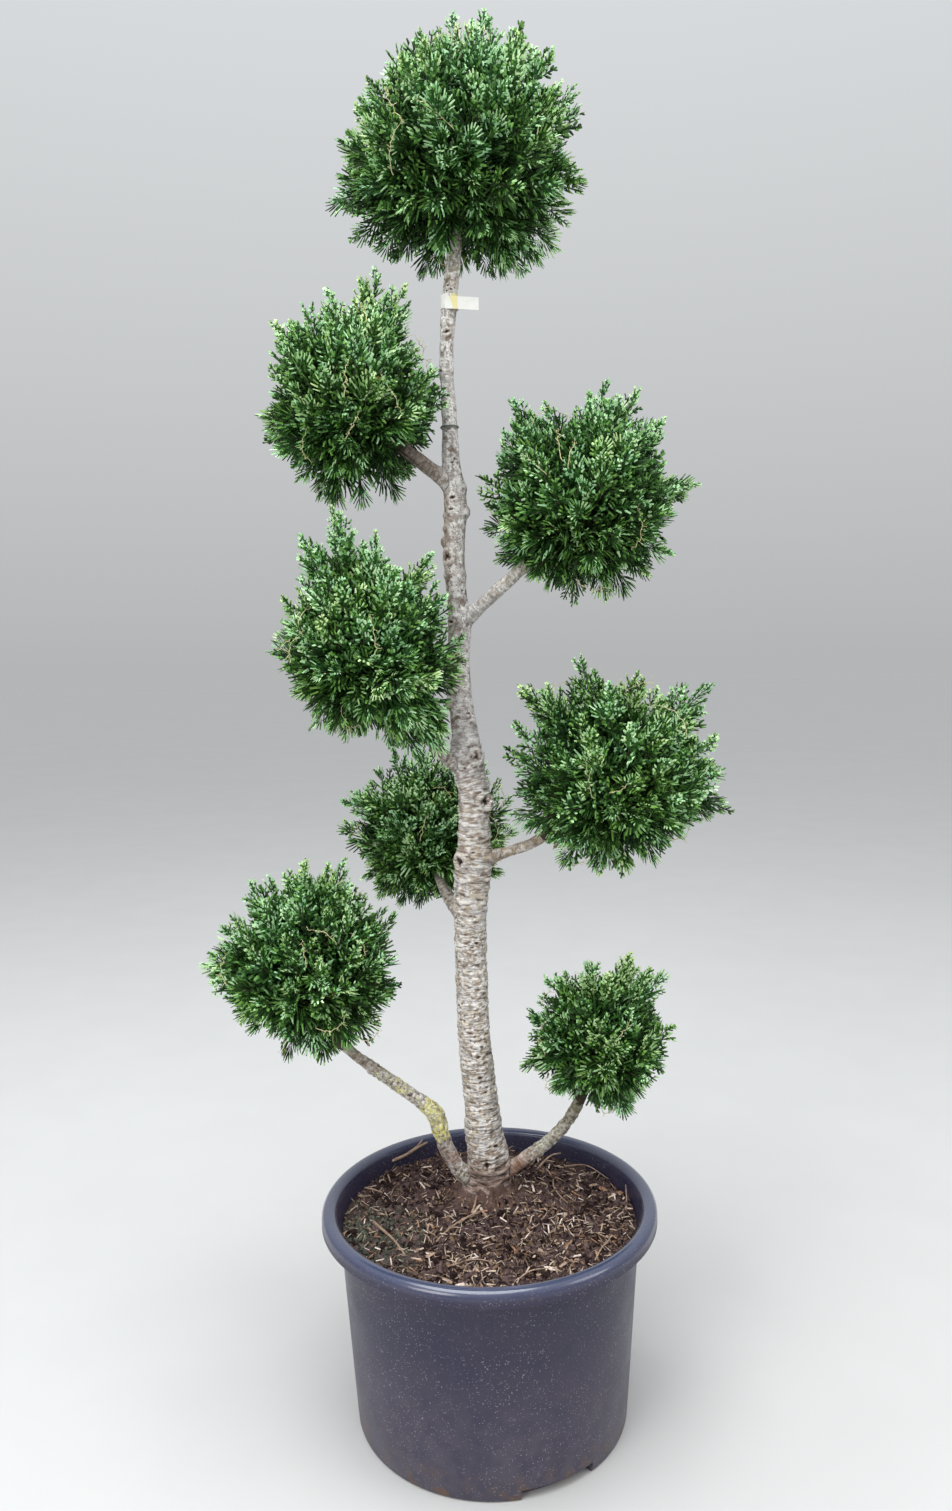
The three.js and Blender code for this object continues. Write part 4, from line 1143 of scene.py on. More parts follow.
def make_limbs():
    """Trunk and boughs as one skin: tubes fused, their joins eased, and the bark's relief raised on it."""
    tubes = [tube(PATHS[name], LIMB_SIDES, root_flare if name == "trunk" else None) for name in LIMBS]
    points, faces = joined_arrays(tubes + [knot_ball(knot) for knot in KNOTS])
    piece = mesh_piece("limbs", points, faces, [FINISHES["bark"]])
    fuse = piece.modifiers.new("fuse", "REMESH")
    fuse.mode = "VOXEL"
    fuse.voxel_size = BARK_VOXEL * MM
    applied(piece)
    mesh = piece.data
    points = vertex_array(mesh) / MM
    edges = np.empty(len(mesh.edges) * 2, np.int32)
    mesh.edges.foreach_get("vertices", edges)
    edges = edges.reshape(-1, 2)

    found = {name: nearest_on(path, points) for name, path in PATHS.items()}
    ratios = np.stack([found[name][1] for name in LIMBS], 1)
    order = np.sort(ratios, 1)
    owner = ratios.argmin(1)
    near_join = np.clip((JOIN_RATIO - order[:, 1]) / (JOIN_RATIO - 1), 0, 1)
    ease = np.maximum(near_join, JOIN_LEAST_EASE)[:, None]
    for _ in range(JOIN_PASSES):
        points = points + (neighbour_mean(points, edges) - points) * ease * 0.5

    place = np.zeros_like(points)
    tone = np.zeros_like(points)
    wrinkle = np.zeros(len(points))
    lichen = np.zeros(len(points))
    yellow = np.zeros(len(points))
    for i, (name, path) in enumerate(PATHS.items()):
        mine = owner == i
        index = found[name][0][mine]
        offset = points[mine] - path["centres"][index]
        along = path["along"][index] + (offset * path["ways"][index]).sum(1)
        place[mine, 0] = (offset * path["normals"][index]).sum(1)
        place[mine, 1] = (offset * path["acrosses"][index]).sum(1)
        place[mine, 2] = along + LIMB_PLACE_STEP * i
        grain = BOUGH_GRAIN
        if name == "trunk":
            grain = np.interp(points[mine, 2], [row[0] for row in GRAIN], [row[1] for row in GRAIN])[:, None]
        place[mine, :2] *= grain
        share = along / path["along"][-1]
        if name == "trunk":
            tone[mine] = tones_along(points[mine, 2], TRUNK_TONES)
            heights = [row[0] for row in BARK_WRINKLES]
            wrinkle[mine] = np.interp(points[mine, 2], heights, [row[1] for row in BARK_WRINKLES])
            # Painted shade: the trunk's left side is darkened and browned between two heights
            low, high = SHADED_SIDE
            inside = np.minimum(points[mine, 2] - low, high - points[mine, 2])
            level_share = np.clip(inside / SHADED_SIDE_FADE, 0, 1)
            left_share = np.clip(-1.6 * offset[:, 0] / path["radii"][index] - 0.2, 0, 1)
            side_shade = (level_share * left_share)[:, None]
            tone[mine] *= 1 - side_shade * (1 - np.array(SHADED_SIDE_TONE))
        else:
            tone[mine] = tones_along(share, BOUGH_TONES[name])
            wrinkle[mine] = BOUGH_WRINKLE
        for limb, low, high, cover, yellowness in LICHEN:
            if limb == name:
                middle, half = (low + high) / 2, (high - low) / 2
                here = cover * np.clip(2 - 2 * abs(share - middle) / half, 0, 1)
                yellow[mine] = np.where(here > lichen[mine], yellowness, yellow[mine])
                lichen[mine] = np.maximum(lichen[mine], here)
    tone *= 1 + BARK_STREAKS * noise_at(place * (0.2, 0.2, 0.05) + 120)[:, None]
    for _ in range(TONE_PASSES):
        tone = tone + (neighbour_mean(tone, edges) - tone) * 0.5
        wrinkle = wrinkle + (neighbour_mean(wrinkle[:, None], edges)[:, 0] - wrinkle) * 0.5

    lump = BARK_LUMP * noise_at(points * 0.045) + BARK_BUMP * noise_at(points * 0.11 + 30)
    rolls = BARK_ROLLS * noise_at(place * (0.02, 0.02, 0.13) + 80)
    net = noise_at(place * (0.05, 0.05, 0.24)) + 0.5 * noise_at(place * (0.09, 0.09, 0.5) + 50)
    relief = lump + wrinkle * (0.7 + rolls - 1.9 * np.abs(net))
    mark = np.zeros(len(points))
    uneven = 0.45 * noise_at(points * 0.35)
    on_the_trunk = owner == 0
    for height, azimuth, radius, depth in PITS:
        out = (points - on_trunk(height, azimuth)) * (1, 1, PIT_FLATNESS if radius < SMALL_PIT else 1)
        away = np.linalg.norm(out, axis=1) / radius + uneven
        relief += on_the_trunk * depth * (0.7 * np.exp(-((away - 1.5) ** 2) * 3) - np.exp(-(away**2) * 1.6))
        mark = np.maximum(mark, on_the_trunk * np.exp(-(away**2) * 2.2))
    for height, half, proud in RINGS:
        away = (points[:, 2] - height + 2 * np.sin(points[:, 0] * 0.25)) / half
        relief += on_the_trunk * proud * np.exp(-(away**2))
    relief += LICHEN_CRUST * np.clip(lichen * 2, 0, 1) * noise_at(points * 0.3 + 60)
    # The relief's cavity: hollows and crests against the smoothed relief, which the bark finish darkens and
    # lightens, partly as painted shade and painted highlight
    level = relief[:, None]
    for _ in range(CREASE_PASSES):
        level = level + (neighbour_mean(level, edges) - level) * 0.7
    cavity = (level[:, 0] - relief) / CREASE_DEPTH
    mesh.vertices.foreach_set("co", (points * MM).astype(np.float32).ravel())
    mesh.update()
    normals = vertex_array(mesh, "normal")
    points = points + normals * relief[:, None]
    mesh.vertices.foreach_set("co", (points * MM).astype(np.float32).ravel())

    flat_place = place.astype(np.float32).ravel()
    mesh.attributes.new("place", "FLOAT_VECTOR", "POINT").data.foreach_set("vector", flat_place)
    color = np.column_stack([tone, np.ones(len(tone))]).astype(np.float32)
    mesh.attributes.new("tone", "FLOAT_COLOR", "POINT").data.foreach_set("color", color.ravel())
    masks = {
        "mark": mark,
        "lichen": lichen,
        "yellow": yellow,
        "coarse": np.clip(wrinkle * 1.6, 0.15, 1),
        "hollow": np.clip(cavity, 0, 1),
        "crest": np.clip(-cavity, 0, 1),
    }
    keep_masks(mesh, masks)
    mesh.materials.clear()
    mesh.materials.append(FINISHES["bark"])
    mesh.polygons.foreach_set("use_smooth", np.full(len(mesh.polygons), True))
    mesh.update()
    settled(piece, "bark", *LIMBS)


# Container


def wall_radius(z):
    return FOOT_RADIUS + (SHOULDER_RADIUS - FOOT_RADIUS) * z / SHOULDER_HEIGHT


def inside_radius(z):
    return wall_radius(z) - WALL


def container_section():
    """Radius and height from under the floor, over the rolled rim, back down inside to the floor."""
    roll_x, roll_z = RIM_RADIUS - ROLL_RADIUS, RIM_TOP - ROLL_RADIUS

    def roll(radius, step):
        angle = math.pi * step / ROLL_STEPS
        return roll_x + radius * math.cos(angle), roll_z + radius * math.sin(angle)

    section = [(FOOT_RADIUS - FOOT_CHAMFER, 0), (FOOT_RADIUS - 1, 0.9), (FOOT_RADIUS, FOOT_CHAMFER)]
    section += [(wall_radius(z), z) for z in OUTER_RINGS]
    section.append((SHOULDER_RADIUS, SHOULDER_HEIGHT))
    section += [roll(ROLL_RADIUS - WALL, step) for step in range(ROLL_STEPS, -1, -1)]
    section += [(RIM_RADIUS - WALL, roll_z - ROLL_SKIRT), (RIM_RADIUS - WALL / 2, roll_z - ROLL_SKIRT - 0.4)]
    section += [(RIM_RADIUS, roll_z - ROLL_SKIRT), (RIM_RADIUS, roll_z - ROLL_SKIRT / 2)]
    section += [roll(ROLL_RADIUS, step) for step in range(ROLL_STEPS + 1)]
    section.append((SHOULDER_RADIUS - WALL, SHOULDER_HEIGHT))
    section += [(inside_radius(z), z) for z in (*INNER_RINGS, FLOOR + CORNER_RISE)]
    section.append((FOOT_RADIUS - WALL - CORNER_INSET, FLOOR))
    return section


def turned(section, sides, foot, top):
    """A section of radius and height turned about the Z axis, closed by a point on the axis at each end."""
    points = [(0, 0, foot)]
    for radius, z in section:
        for j in range(sides):
            turn = 2 * math.pi * j / sides
            points.append((radius * math.cos(turn), radius * math.sin(turn), z))
    points.append((0, 0, top))
    faces = []
    last = 1 + (len(section) - 1) * sides
    for j in range(sides):
        k = (j + 1) % sides
        faces.append((0, 1 + k, 1 + j))
        faces.append((len(points) - 1, last + j, last + k))
        for i in range(len(section) - 1):
            a, b = 1 + i * sides + j, 1 + i * sides + k
            faces += [(a, b, b + sides), (a, b + sides, a + sides)]
    return np.array(points, float), np.array(faces)


def notch_block(index):
    middle = NOTCH_AZIMUTH + 2 * math.pi * index / NOTCH_COUNT
    angles = middle + NOTCH_ARC * (np.arange(NOTCH_STEPS + 1) / NOTCH_STEPS - 0.5)
    corners = []
    for radius in (FOOT_RADIUS - NOTCH_DEPTH, FOOT_RADIUS + NOTCH_DEPTH):
        for z in (-NOTCH_HEIGHT, NOTCH_HEIGHT):
            level = np.full(len(angles), z)
            corners.append(np.column_stack([radius * np.cos(angles), radius * np.sin(angles), level]))
    count = len(angles)
    rails = [0, count, 3 * count, 2 * count]
    faces = []
    for i in range(NOTCH_STEPS):
        for side in range(4):
            a, b = rails[side] + i, rails[(side + 1) % 4] + i
            faces += [(a, b, b + 1), (a, b + 1, a + 1)]
    start, end = rails, [rail + NOTCH_STEPS for rail in rails]
    faces += [(start[0], start[3], start[2]), (start[0], start[2], start[1])]
    faces += [(end[0], end[1], end[2]), (end[0], end[2], end[3])]
    return np.vstack(corners), np.array(faces)


def make_container():
    points, faces = turned(container_section(), CONTAINER_SIDES, 0, FLOOR)
    piece = mesh_piece("container_shell", points, faces, [FINISHES["container"]])
    blocks = mesh_piece("notch_blocks", *joined_arrays([notch_block(i) for i in range(NOTCH_COUNT)]), [])
    cut = piece.modifiers.new("notches", "BOOLEAN")
    cut.operation = "DIFFERENCE"
    cut.solver = "EXACT"
    cut.object = blocks
    applied(piece)
    bpy.data.objects.remove(blocks)
    mesh = piece.data
    mesh.polygons.foreach_set("use_smooth", np.full(len(mesh.polygons), True))
    mesh.set_sharp_from_angle(angle=SHARP_EDGE)
    settled(piece, "container_plastic", "container")


# Soil and what lies on it


def soil_height(x, y):
    """Height of the soil's top at a place: the bed as built, the mound at the trunk's foot, and crumbs."""
    out = math.hypot(x, y) / SHOULDER_RADIUS
    ripple = SOIL_RIPPLE * math.sin(x / SOIL_WAVES[0] + 1) * math.cos(y / SOIL_WAVES[1])
    fine = SOIL_FINE_RIPPLE * math.sin((x + y) / SOIL_WAVES[2])
    bed = SOIL_EDGE + SOIL_RISE * (1 - out * out) + ripple + fine
    from_trunk = math.hypot(x - TRUNK[0][1], y - TRUNK[0][2])
    share = min(1.0, max(0.0, (MOUND_RADIUS + MOUND_SKIRT - from_trunk) / MOUND_SKIRT))
    height = bed + (MOUND_TOP - bed) * share * share * (3 - 2 * share)
    lap = min(1.0, max(0.0, 1 - (from_trunk - FOOT_LAP_RADIUS) / FOOT_LAP_WIDTH))
    height += FOOT_LAP * lap * lap * (0.7 + noise.noise(Vector((x / LAP_CRUMB, y / LAP_CRUMB, 3))))
    for size, rise in CRUMBS:
        height += rise * noise.noise(Vector((x / size, y / size, size)))
    return height


def make_soil():
    edge = inside_radius(SOIL_EDGE) - GAP
    points = [(0, 0, soil_height(0, 0))]
    for i in range(1, SOIL_RINGS + 1):
        radius = edge * i / SOIL_RINGS
        for j in range(SOIL_SPOKES):
            turn = 2 * math.pi * (j + 0.5 * (i % 2)) / SOIL_SPOKES
            x, y = radius * math.cos(turn), radius * math.sin(turn)
            points.append((x, y, soil_height(x, y) if i < SOIL_RINGS else SOIL_EDGE))
    for radius, z in (
        (inside_radius(FLOOR + CORNER_RISE) - GAP, FLOOR + CORNER_RISE + GAP),
        (FOOT_RADIUS - WALL - CORNER_INSET - GAP, FLOOR + GAP),
    ):
        for j in range(SOIL_SPOKES):
            turn = 2 * math.pi * j / SOIL_SPOKES
            points.append((radius * math.cos(turn), radius * math.sin(turn), z))
    points.append((0, 0, FLOOR + GAP))
    faces = []
    for j in range(SOIL_SPOKES):
        k = (j + 1) % SOIL_SPOKES
        faces.append((0, 1 + j, 1 + k))
        for i in range(SOIL_RINGS + 1):
            a, b = 1 + i * SOIL_SPOKES + j, 1 + i * SOIL_SPOKES + k
            faces += [(a, a + SOIL_SPOKES, b + SOIL_SPOKES), (a, b + SOIL_SPOKES, b)]
        last = 1 + (SOIL_RINGS + 1) * SOIL_SPOKES
        faces.append((len(points) - 1, last + k, last + j))
    points = np.array(points, float)
    piece = mesh_piece("soil_bed", points, faces, [FINISHES["soil"]])
    away = np.hypot(*((points[:, :2] - MOSS_CENTRE) / MOSS_HALF_SIZE).T)
    from_foot = np.hypot(points[:, 0] - TRUNK[0][1], points[:, 1] - TRUNK[0][2])
    masks = {
        "moss": np.clip(MOSS_END - away, 0, 1),
        "dust": np.clip((FOOT_DUST_RADIUS - from_foot) / FOOT_DUST_FADE, 0, 1),
    }
    keep_masks(piece.data, masks)
    settled(piece, "soil", "soil")
    return piece


def litter_shape(kind):
    """One piece of litter, about 1 mm in size: a crumb, a chip, a bent fibre or a flat flake."""
    if kind == "fibre":
        rows = [(-0.5, 0.0, 0.0, 0.026), (-0.1, 0.06, 0.02, 0.044), (0.5, -0.04, 0.05, 0.022)]
        return tube(limb_path(stations_of(rows), 0.4), 3)
    points, faces = [], []
    golden = (1 + math.sqrt(5)) / 2
    for a, b in ((-1, golden), (1, golden), (-1, -golden), (1, -golden)):
        points += [(a, b, 0), (0, a, b), (b, 0, a)]
    points = np.array(points, float) / math.hypot(1, golden)
    for i in range(12):
        for j in range(i + 1, 12):
            for k in range(j + 1, 12):
                sides = [np.linalg.norm(points[p] - points[q]) for p, q in ((i, j), (j, k), (k, i))]
                if max(sides) < 1.2:
                    turn = np.dot(np.cross(points[j] - points[i], points[k] - points[i]), points[i])
                    faces.append((i, j, k) if turn > 0 else (i, k, j))
    factors = {
        "clod": (0.5, 0.42, 0.34),
        "crumb": (0.5, 0.42, 0.36),
        "chip": (0.62, 0.34, 0.13),
        "flake": (0.7, 0.2, 0.08),
        "sliver": (0.7, 0.085, 0.045),
        "tuft": (0.5, 0.4, 0.4),
    }
    uneven = 1 + (0.5 if kind == "flake" else 0.28) * np.sin(np.arange(12) * 2.3)[:, None]
    return points * uneven * factors[kind], np.array(faces)


def make_litter_tree():
    """Geometry nodes that strew one item over a surface, turned at random, clear of the trunk's foot."""
    tree = bpy.data.node_groups.new("strewn", "GeometryNodeTree")
    tree.is_modifier = True
    sockets = {
        "Surface": "Geometry",
        "Item": "Object",
        "Density": "Float",
        "Smallest": "Float",
        "Largest": "Float",
        "Lift": "Float",
        "Seed": "Int",
        "Finish": "Material",
        "Trunk Foot": "Vector",
        "Clear Radius": "Float",
        "Drift Scale": "Float",
        "Front": "Float",
        "Back": "Float",
        "Off Moss": "Float",
        "On Moss": "Float",
    }
    for label, kind in sockets.items():
        tree.interface.new_socket(name=label, in_out="INPUT", socket_type="NodeSocket" + kind)
    tree.interface.new_socket(name="Litter", in_out="OUTPUT", socket_type="NodeSocketGeometry")
    given = put(tree, "NodeGroupInput").outputs
    times = partial(multiplied, tree)
    here = put(tree, "GeometryNodeInputPosition").outputs[0]
    shifted = put(tree, "ShaderNodeVectorMath", {0: here, 1: given["Seed"]}, operation="ADD").outputs[0]
    thick = ramped(tree, noise_in(tree, shifted, given["Drift Scale"], 2.0), *DRIFT_NOISE, *DRIFT_SHARES)
    far = put(tree, "ShaderNodeSeparateXYZ", {0: here}).outputs["Y"]
    front = ramped(tree, far, given["Front"], given["Back"], LITTER_FRONT_SHARE, LITTER_BACK_SHARE)
    moss = put(tree, "GeometryNodeInputNamedAttribute", {"Name": "moss"}, data_type="FLOAT").outputs[0]
    mossy = ramped(tree, moss, 0.0, 1.0, given["Off Moss"], given["On Moss"])
    density = times(given["Density"], times(times(thick, front), mossy))
    inputs = {"Mesh": given["Surface"], "Density": density, "Seed": given["Seed"]}
    spots = put(tree, "GeometryNodeDistributePointsOnFaces", inputs).outputs
    flat_here = stretched(tree, here, (1, 1, 0))
    inputs = {0: flat_here, 1: given["Trunk Foot"]}
    away = put(tree, "ShaderNodeVectorMath", inputs, operation="DISTANCE").outputs["Value"]
    inputs = {"A": away, "B": given["Clear Radius"]}
    near = put(tree, "FunctionNodeCompare", inputs, operation="LESS_THAN").outputs[0]
    kept = put(tree, "GeometryNodeDeleteGeometry", {"Geometry": spots["Points"], "Selection": near})
    spin = put(tree, "FunctionNodeRandomValue", {"Seed": given["Seed"]}, data_type="FLOAT_VECTOR")
    spin.inputs[0].default_value = (-LITTER_TILT, -LITTER_TILT, 0.0)
    spin.inputs[1].default_value = (LITTER_TILT, LITTER_TILT, 2 * math.pi)
    inputs = {"Rotation": spots["Rotation"], "Rotate By": spin.outputs[0]}
    turn = put(tree, "FunctionNodeRotateRotation", inputs, rotation_space="LOCAL").outputs[0]
    size = put(tree, "FunctionNodeRandomValue", {"Seed": given["Seed"]}, data_type="FLOAT")
    fill(tree, used(size.inputs, "Min"), given["Smallest"])
    fill(tree, used(size.inputs, "Max"), given["Largest"])
    item = put(tree, "GeometryNodeObjectInfo", {"Object": given["Item"]}).outputs["Geometry"]
    up = put(tree, "ShaderNodeCombineXYZ", {"Z": given["Lift"]}).outputs[0]
    lifted = put(tree, "GeometryNodeSetPosition", {"Geometry": kept.outputs[0], "Offset": up}).outputs[0]
    inputs = {"Points": lifted, "Instance": item, "Rotation": turn, "Scale": used(size.outputs)}
    strewn = put(tree, "GeometryNodeInstanceOnPoints", inputs).outputs[0]
    real = put(tree, "GeometryNodeRealizeInstances", {"Geometry": strewn}).outputs[0]
    inputs = {"Geometry": real, "Material": given["Finish"]}
    finished = put(tree, "GeometryNodeSetMaterial", inputs).outputs[0]
    put(tree, "NodeGroupOutput", {"Litter": finished})
    return tree


def make_litter(soil):
    tree = make_litter_tree()
    identifiers = {s.name: s.identifier for s in tree.interface.items_tree if s.in_out == "INPUT"}
    bed = soil.data.copy()
    low = (SOIL_EDGE - LITTER_DROP) * MM
    seed = 0
    for kind, facts in LITTER.items():
        item = mesh_piece("item", *litter_shape(kind), [], smooth=False)
        for tone in facts["tones"]:
            seed += 1
            piece = linked(bpy.data.objects.new(f"litter_{kind}_{tone}", bed.copy()))
            strew = piece.modifiers.new("strew", "NODES")
            strew.node_group = tree
            values = {
                "Item": item,
                "Density": facts["density"] / len(facts["tones"]),
                "Smallest": facts["size"][0],
                "Largest": facts["size"][1],
                "Lift": facts["lift"] * MM,
                "Seed": seed,
                "Finish": FINISHES[tone],
                "Trunk Foot": (TRUNK[0][1] * MM, TRUNK[0][2] * MM, 0),
                "Clear Radius": LITTER_CLEAR * MM,
                "Drift Scale": DRIFT_SCALE,
                "Front": LITTER_FRONT * MM,
                "Back": LITTER_BACK * MM,
                "Off Moss": float(kind != "tuft"),
                "On Moss": 1.0 if kind == "tuft" else LITTER_ON_MOSS,
            }
            for label, value in values.items():
                strew[identifiers[label]] = value
            applied(piece)
            drop_below(piece.data, low)
            settled(piece, "soil")
        bpy.data.objects.remove(item)
    bpy.data.meshes.remove(bed)


def drop_below(mesh, height):
    """Removes what was strewn on the sides and underside of the soil."""
    work = bmesh.new()
    work.from_mesh(mesh)
    edge = inside_radius(SOIL_EDGE) * MM
    gone = [v for v in work.verts if v.co.z < height or math.hypot(v.co.x, v.co.y) > edge]
    touched = set()
    for vertex in gone:
        if vertex in touched:
            continue
        stack = [vertex]
        while stack:
            v = stack.pop()
            if v in touched:
                continue
            touched.add(v)
            stack.extend(e.other_vert(v) for e in v.link_edges)
    bmesh.ops.delete(work, geom=list(touched), context="VERTS")
    work.to_mesh(mesh)
    work.free()


def make_large_chips():
    """Chips and slivers laid one by one on the soil, a piece for each tone."""
    shape, faces = litter_shape("chip")
    half_size = np.abs(shape).max(0)
    parts = {}
    for index, (x, y, length, width, turn, tone) in enumerate(LARGE_CHIPS):
        size = np.array([length / 2, width / 2, CHIP_THICKNESS]) / half_size
        tilt = Matrix.Rotation(CHIP_TILT * math.sin(index * 1.7), 3, "Y")
        facing = Matrix.Rotation(math.radians(turn), 3, "Z") @ tilt
        points = (shape * size) @ np.array(facing).T + (x, y, soil_height(x, y) + CHIP_LIFT)
        parts.setdefault(tone, []).append((points, faces))
    for tone, pieces in parts.items():
        points, faces = joined_arrays(pieces)
        settled(mesh_piece("large_chips_" + tone, points, faces, [FINISHES[tone]], smooth=False), "soil")


def make_soil_twigs():
    parts = []
    for points, radius in SOIL_TWIGS:
        count = len(points)
        rows = [(*p, radius * (1 - 0.45 * i / (count - 1))) for i, p in enumerate(points)]
        parts.append(tube(limb_path(stations_of(rows), 4), 7))
    piece = mesh_piece("soil_twigs", *joined_arrays(parts), [FINISHES["soil_twig"]])
    settled(piece, "soil")


# Foliage


def seeded_random(seed):
    """Repeatable random numbers from 0 to 1, by the same rule as built."""
    state = seed
    while True:
        state = (state * RANDOM_FACTOR + RANDOM_STEP) % RANDOM_RANGE
        yield state / RANDOM_RANGE


def unit(vectors):
    return vectors / np.linalg.norm(vectors, axis=-1, keepdims=True)


def reach_along(mass, directions):
    """The reach of a mass in each direction from its centre."""
    bearing = (np.arctan2(directions[:, 2], directions[:, 0]) / (math.pi / 4) + 8) % 8
    low = np.floor(bearing).astype(int)
    blend = (1 - np.cos(math.pi * (bearing - low))) / 2
    reach = np.array(mass["reach"], float)
    in_view = reach[low % 8] * (1 - blend) + reach[(low + 1) % 8] * blend
    sideways = np.hypot(directions[:, 0], directions[:, 2])
    return 1 / np.hypot(sideways / in_view, directions[:, 1] / mass["depth"])


def spread_directions(count, draw):
    """Even directions all round, each moved a little at random."""
    directions = []
    turn = math.pi * (3 - math.sqrt(5))
    for i in range(count):
        z = 1 - (2 * i + 1) / count
        ring = math.sqrt(1 - z * z)
        nudge = (np.array([next(draw), next(draw), next(draw)]) - 0.5) * 2 * JITTER
        directions.append(np.array([ring * math.cos(i * turn), ring * math.sin(i * turn), z]) + nudge)
    return unit(np.array(directions))


def touches_limb(points):
    """Whether each point is too close to the trunk or a bough."""
    near = np.zeros(len(points), bool)
    for path in PATHS.values():
        low = path["centres"].min(0) - LIMB_MARGIN
        high = path["centres"].max(0) + LIMB_MARGIN
        inside = ((points > low) & (points < high)).all(1)
        if inside.any():
            away = np.linalg.norm(points[inside][:, None, :] - path["centres"][None], axis=2)
            near[inside] |= (away < path["radii"] + LIMB_CLEARANCE).any(1)
    return near


def leaves_space(name, points):
    """Whether each point is inside another mass's space."""
    outside = np.zeros(len(points), bool)
    for other, mass in MASSES.items():
        if other != name:
            out = points - mass["centre"]
            away = np.linalg.norm(out, axis=1)
            outside |= away < reach_along(mass, out / away[:, None]) + SPACE_CLEARANCE
    return outside


FINGER_BASE = [(0, 1, 2), (0, 3, 1), (0, 2, 3)]
FINGER_TIP = [(1, 4, 5), (1, 5, 2), (3, 5, 4), (1, 3, 4), (2, 5, 3)]
FINGER_FACES = np.array(FINGER_BASE + FINGER_TIP)
# Tip faces take the lighter tip finish: a painted highlight
FINGER_IS_LIGHT = [0] * len(FINGER_BASE) + [1] * len(FINGER_TIP)
FINGER_POINTS = 6


def finger(root, tip, half_width, shoulder_share, bow=(0, 0, 0)):
    """A closed finger: a root, three corners at its shoulder, set aside by its bow, and a blunt end."""
    way = tip - root
    side = unit(np.cross(way, [0, 0, 1.0])) * half_width
    shoulder = root + way * shoulder_share + np.array(bow)
    lift = np.array([0, 0, FINGER_HALF_THICKNESS])
    end = side * FINGER_END
    corners = [shoulder - side - lift, shoulder + side - lift, shoulder + lift]
    return np.array([root, *corners, tip - end, tip + end])


def bent(sway, curl, x, y, z=0.0):
    """A place on a spray that curves sideways and up along its length."""
    return np.array([x + sway * y * y, y, z + curl * y * y])


def knobby_spray(chance):
    """A short spray, 1 long: stubby fingers in turn on both sides of a stalk, like a small feather."""
    sway, curl = chance.uniform(-0.12, 0.12), chance.uniform(-0.2, 0.2)
    points = [finger(bent(sway, curl, 0, 0), bent(sway, curl, 0, 1), KNOBBY_HALF_WIDTH, 0.8)]
    for i in range(KNOBBY_FINGERS - 1):
        share = i / (KNOBBY_FINGERS - 2)
        side = 1 if i % 2 else -1
        start = 0.16 + 0.62 * share + chance.uniform(-0.04, 0.04)
        angle = side * (KNOBBY_ANGLE - 0.25 * share + chance.uniform(-0.15, 0.15))
        far = KNOBBY_REACH * (1 - 0.4 * share) * chance.uniform(0.8, 1.15)
        tip = (far * math.sin(angle), start + far * math.cos(angle), chance.uniform(-0.1, 0.1))
        width = KNOBBY_HALF_WIDTH * chance.uniform(0.8, 1.2)
        points.append(finger(bent(sway, curl, 0, start), bent(sway, curl, *tip), width, KNOBBY_SHOULDER))
    return np.concatenate(points)


def long_spray(chance):
    """A fan, longer than 1: slim fingers that leave a middle stalk on both sides and end on an arc."""
    sway, curl = chance.uniform(-0.1, 0.1), chance.uniform(-0.16, 0.16)
    points = []
    for i in range(LONG_FINGERS):
        side = 2 * i / (LONG_FINGERS - 1) - 1 + chance.uniform(-0.05, 0.05)
        far = LONG_LENGTH * (1 - 0.18 * abs(side) ** 1.5 + chance.uniform(-0.1, 0.03))
        angle = LONG_FAN * side
        start = 0.5 - 0.44 * abs(side) + chance.uniform(-0.04, 0.04)
        tip = (far * math.sin(angle), far * math.cos(angle), chance.uniform(-0.09, 0.09))
        width = LONG_HALF_WIDTH * chance.uniform(0.8, 1.2)
        points.append(finger(bent(sway, curl, 0, start), bent(sway, curl, *tip), width, LONG_SHOULDER))
    return np.concatenate(points)


def frond_spray(chance):
    """A frond, 1 long: slim bowed fingers in pairs on both sides of a stalk, shorter towards its end."""
    sway, curl = chance.uniform(-0.15, 0.15), chance.uniform(-0.22, 0.12)
    points = [finger(bent(sway, curl, 0, 0), bent(sway, curl, 0, 1), FROND_HALF_WIDTH, 0.85)]
    pairs = FROND_FINGERS // 2
    for i in range(2 * pairs):
        share = (i // 2) / (pairs - 1)
        side = 1 if i % 2 else -1
        start = 0.05 + 0.74 * share + 0.03 * (i % 2) + chance.uniform(-0.02, 0.02)
        lean = FROND_ANGLE - 0.35 * share + chance.uniform(-0.08, 0.08)
        far = FROND_REACH * (1 - 0.45 * share) * chance.uniform(0.85, 1.1)
        tip = (side * far * math.sin(lean), start + far * math.cos(lean), chance.uniform(-0.05, 0.05))
        bow = (side * FROND_BOW * math.cos(lean), -FROND_BOW * math.sin(lean), 0)
        width = FROND_HALF_WIDTH * chance.uniform(0.85, 1.2)
        points.append(finger(bent(sway, curl, 0, start), bent(sway, curl, *tip), width, FROND_SHOULDER, bow))
    return np.concatenate(points)


SPRAY_FAMILIES = (knobby_spray, long_spray, frond_spray)
KNOBBY, LONG, FROND = range(3)


def spray_kinds(chance):
    """Several sprays of each family."""
    return [np.array([make(chance) for _ in range(SPRAY_KINDS)]) for make in SPRAY_FAMILIES]


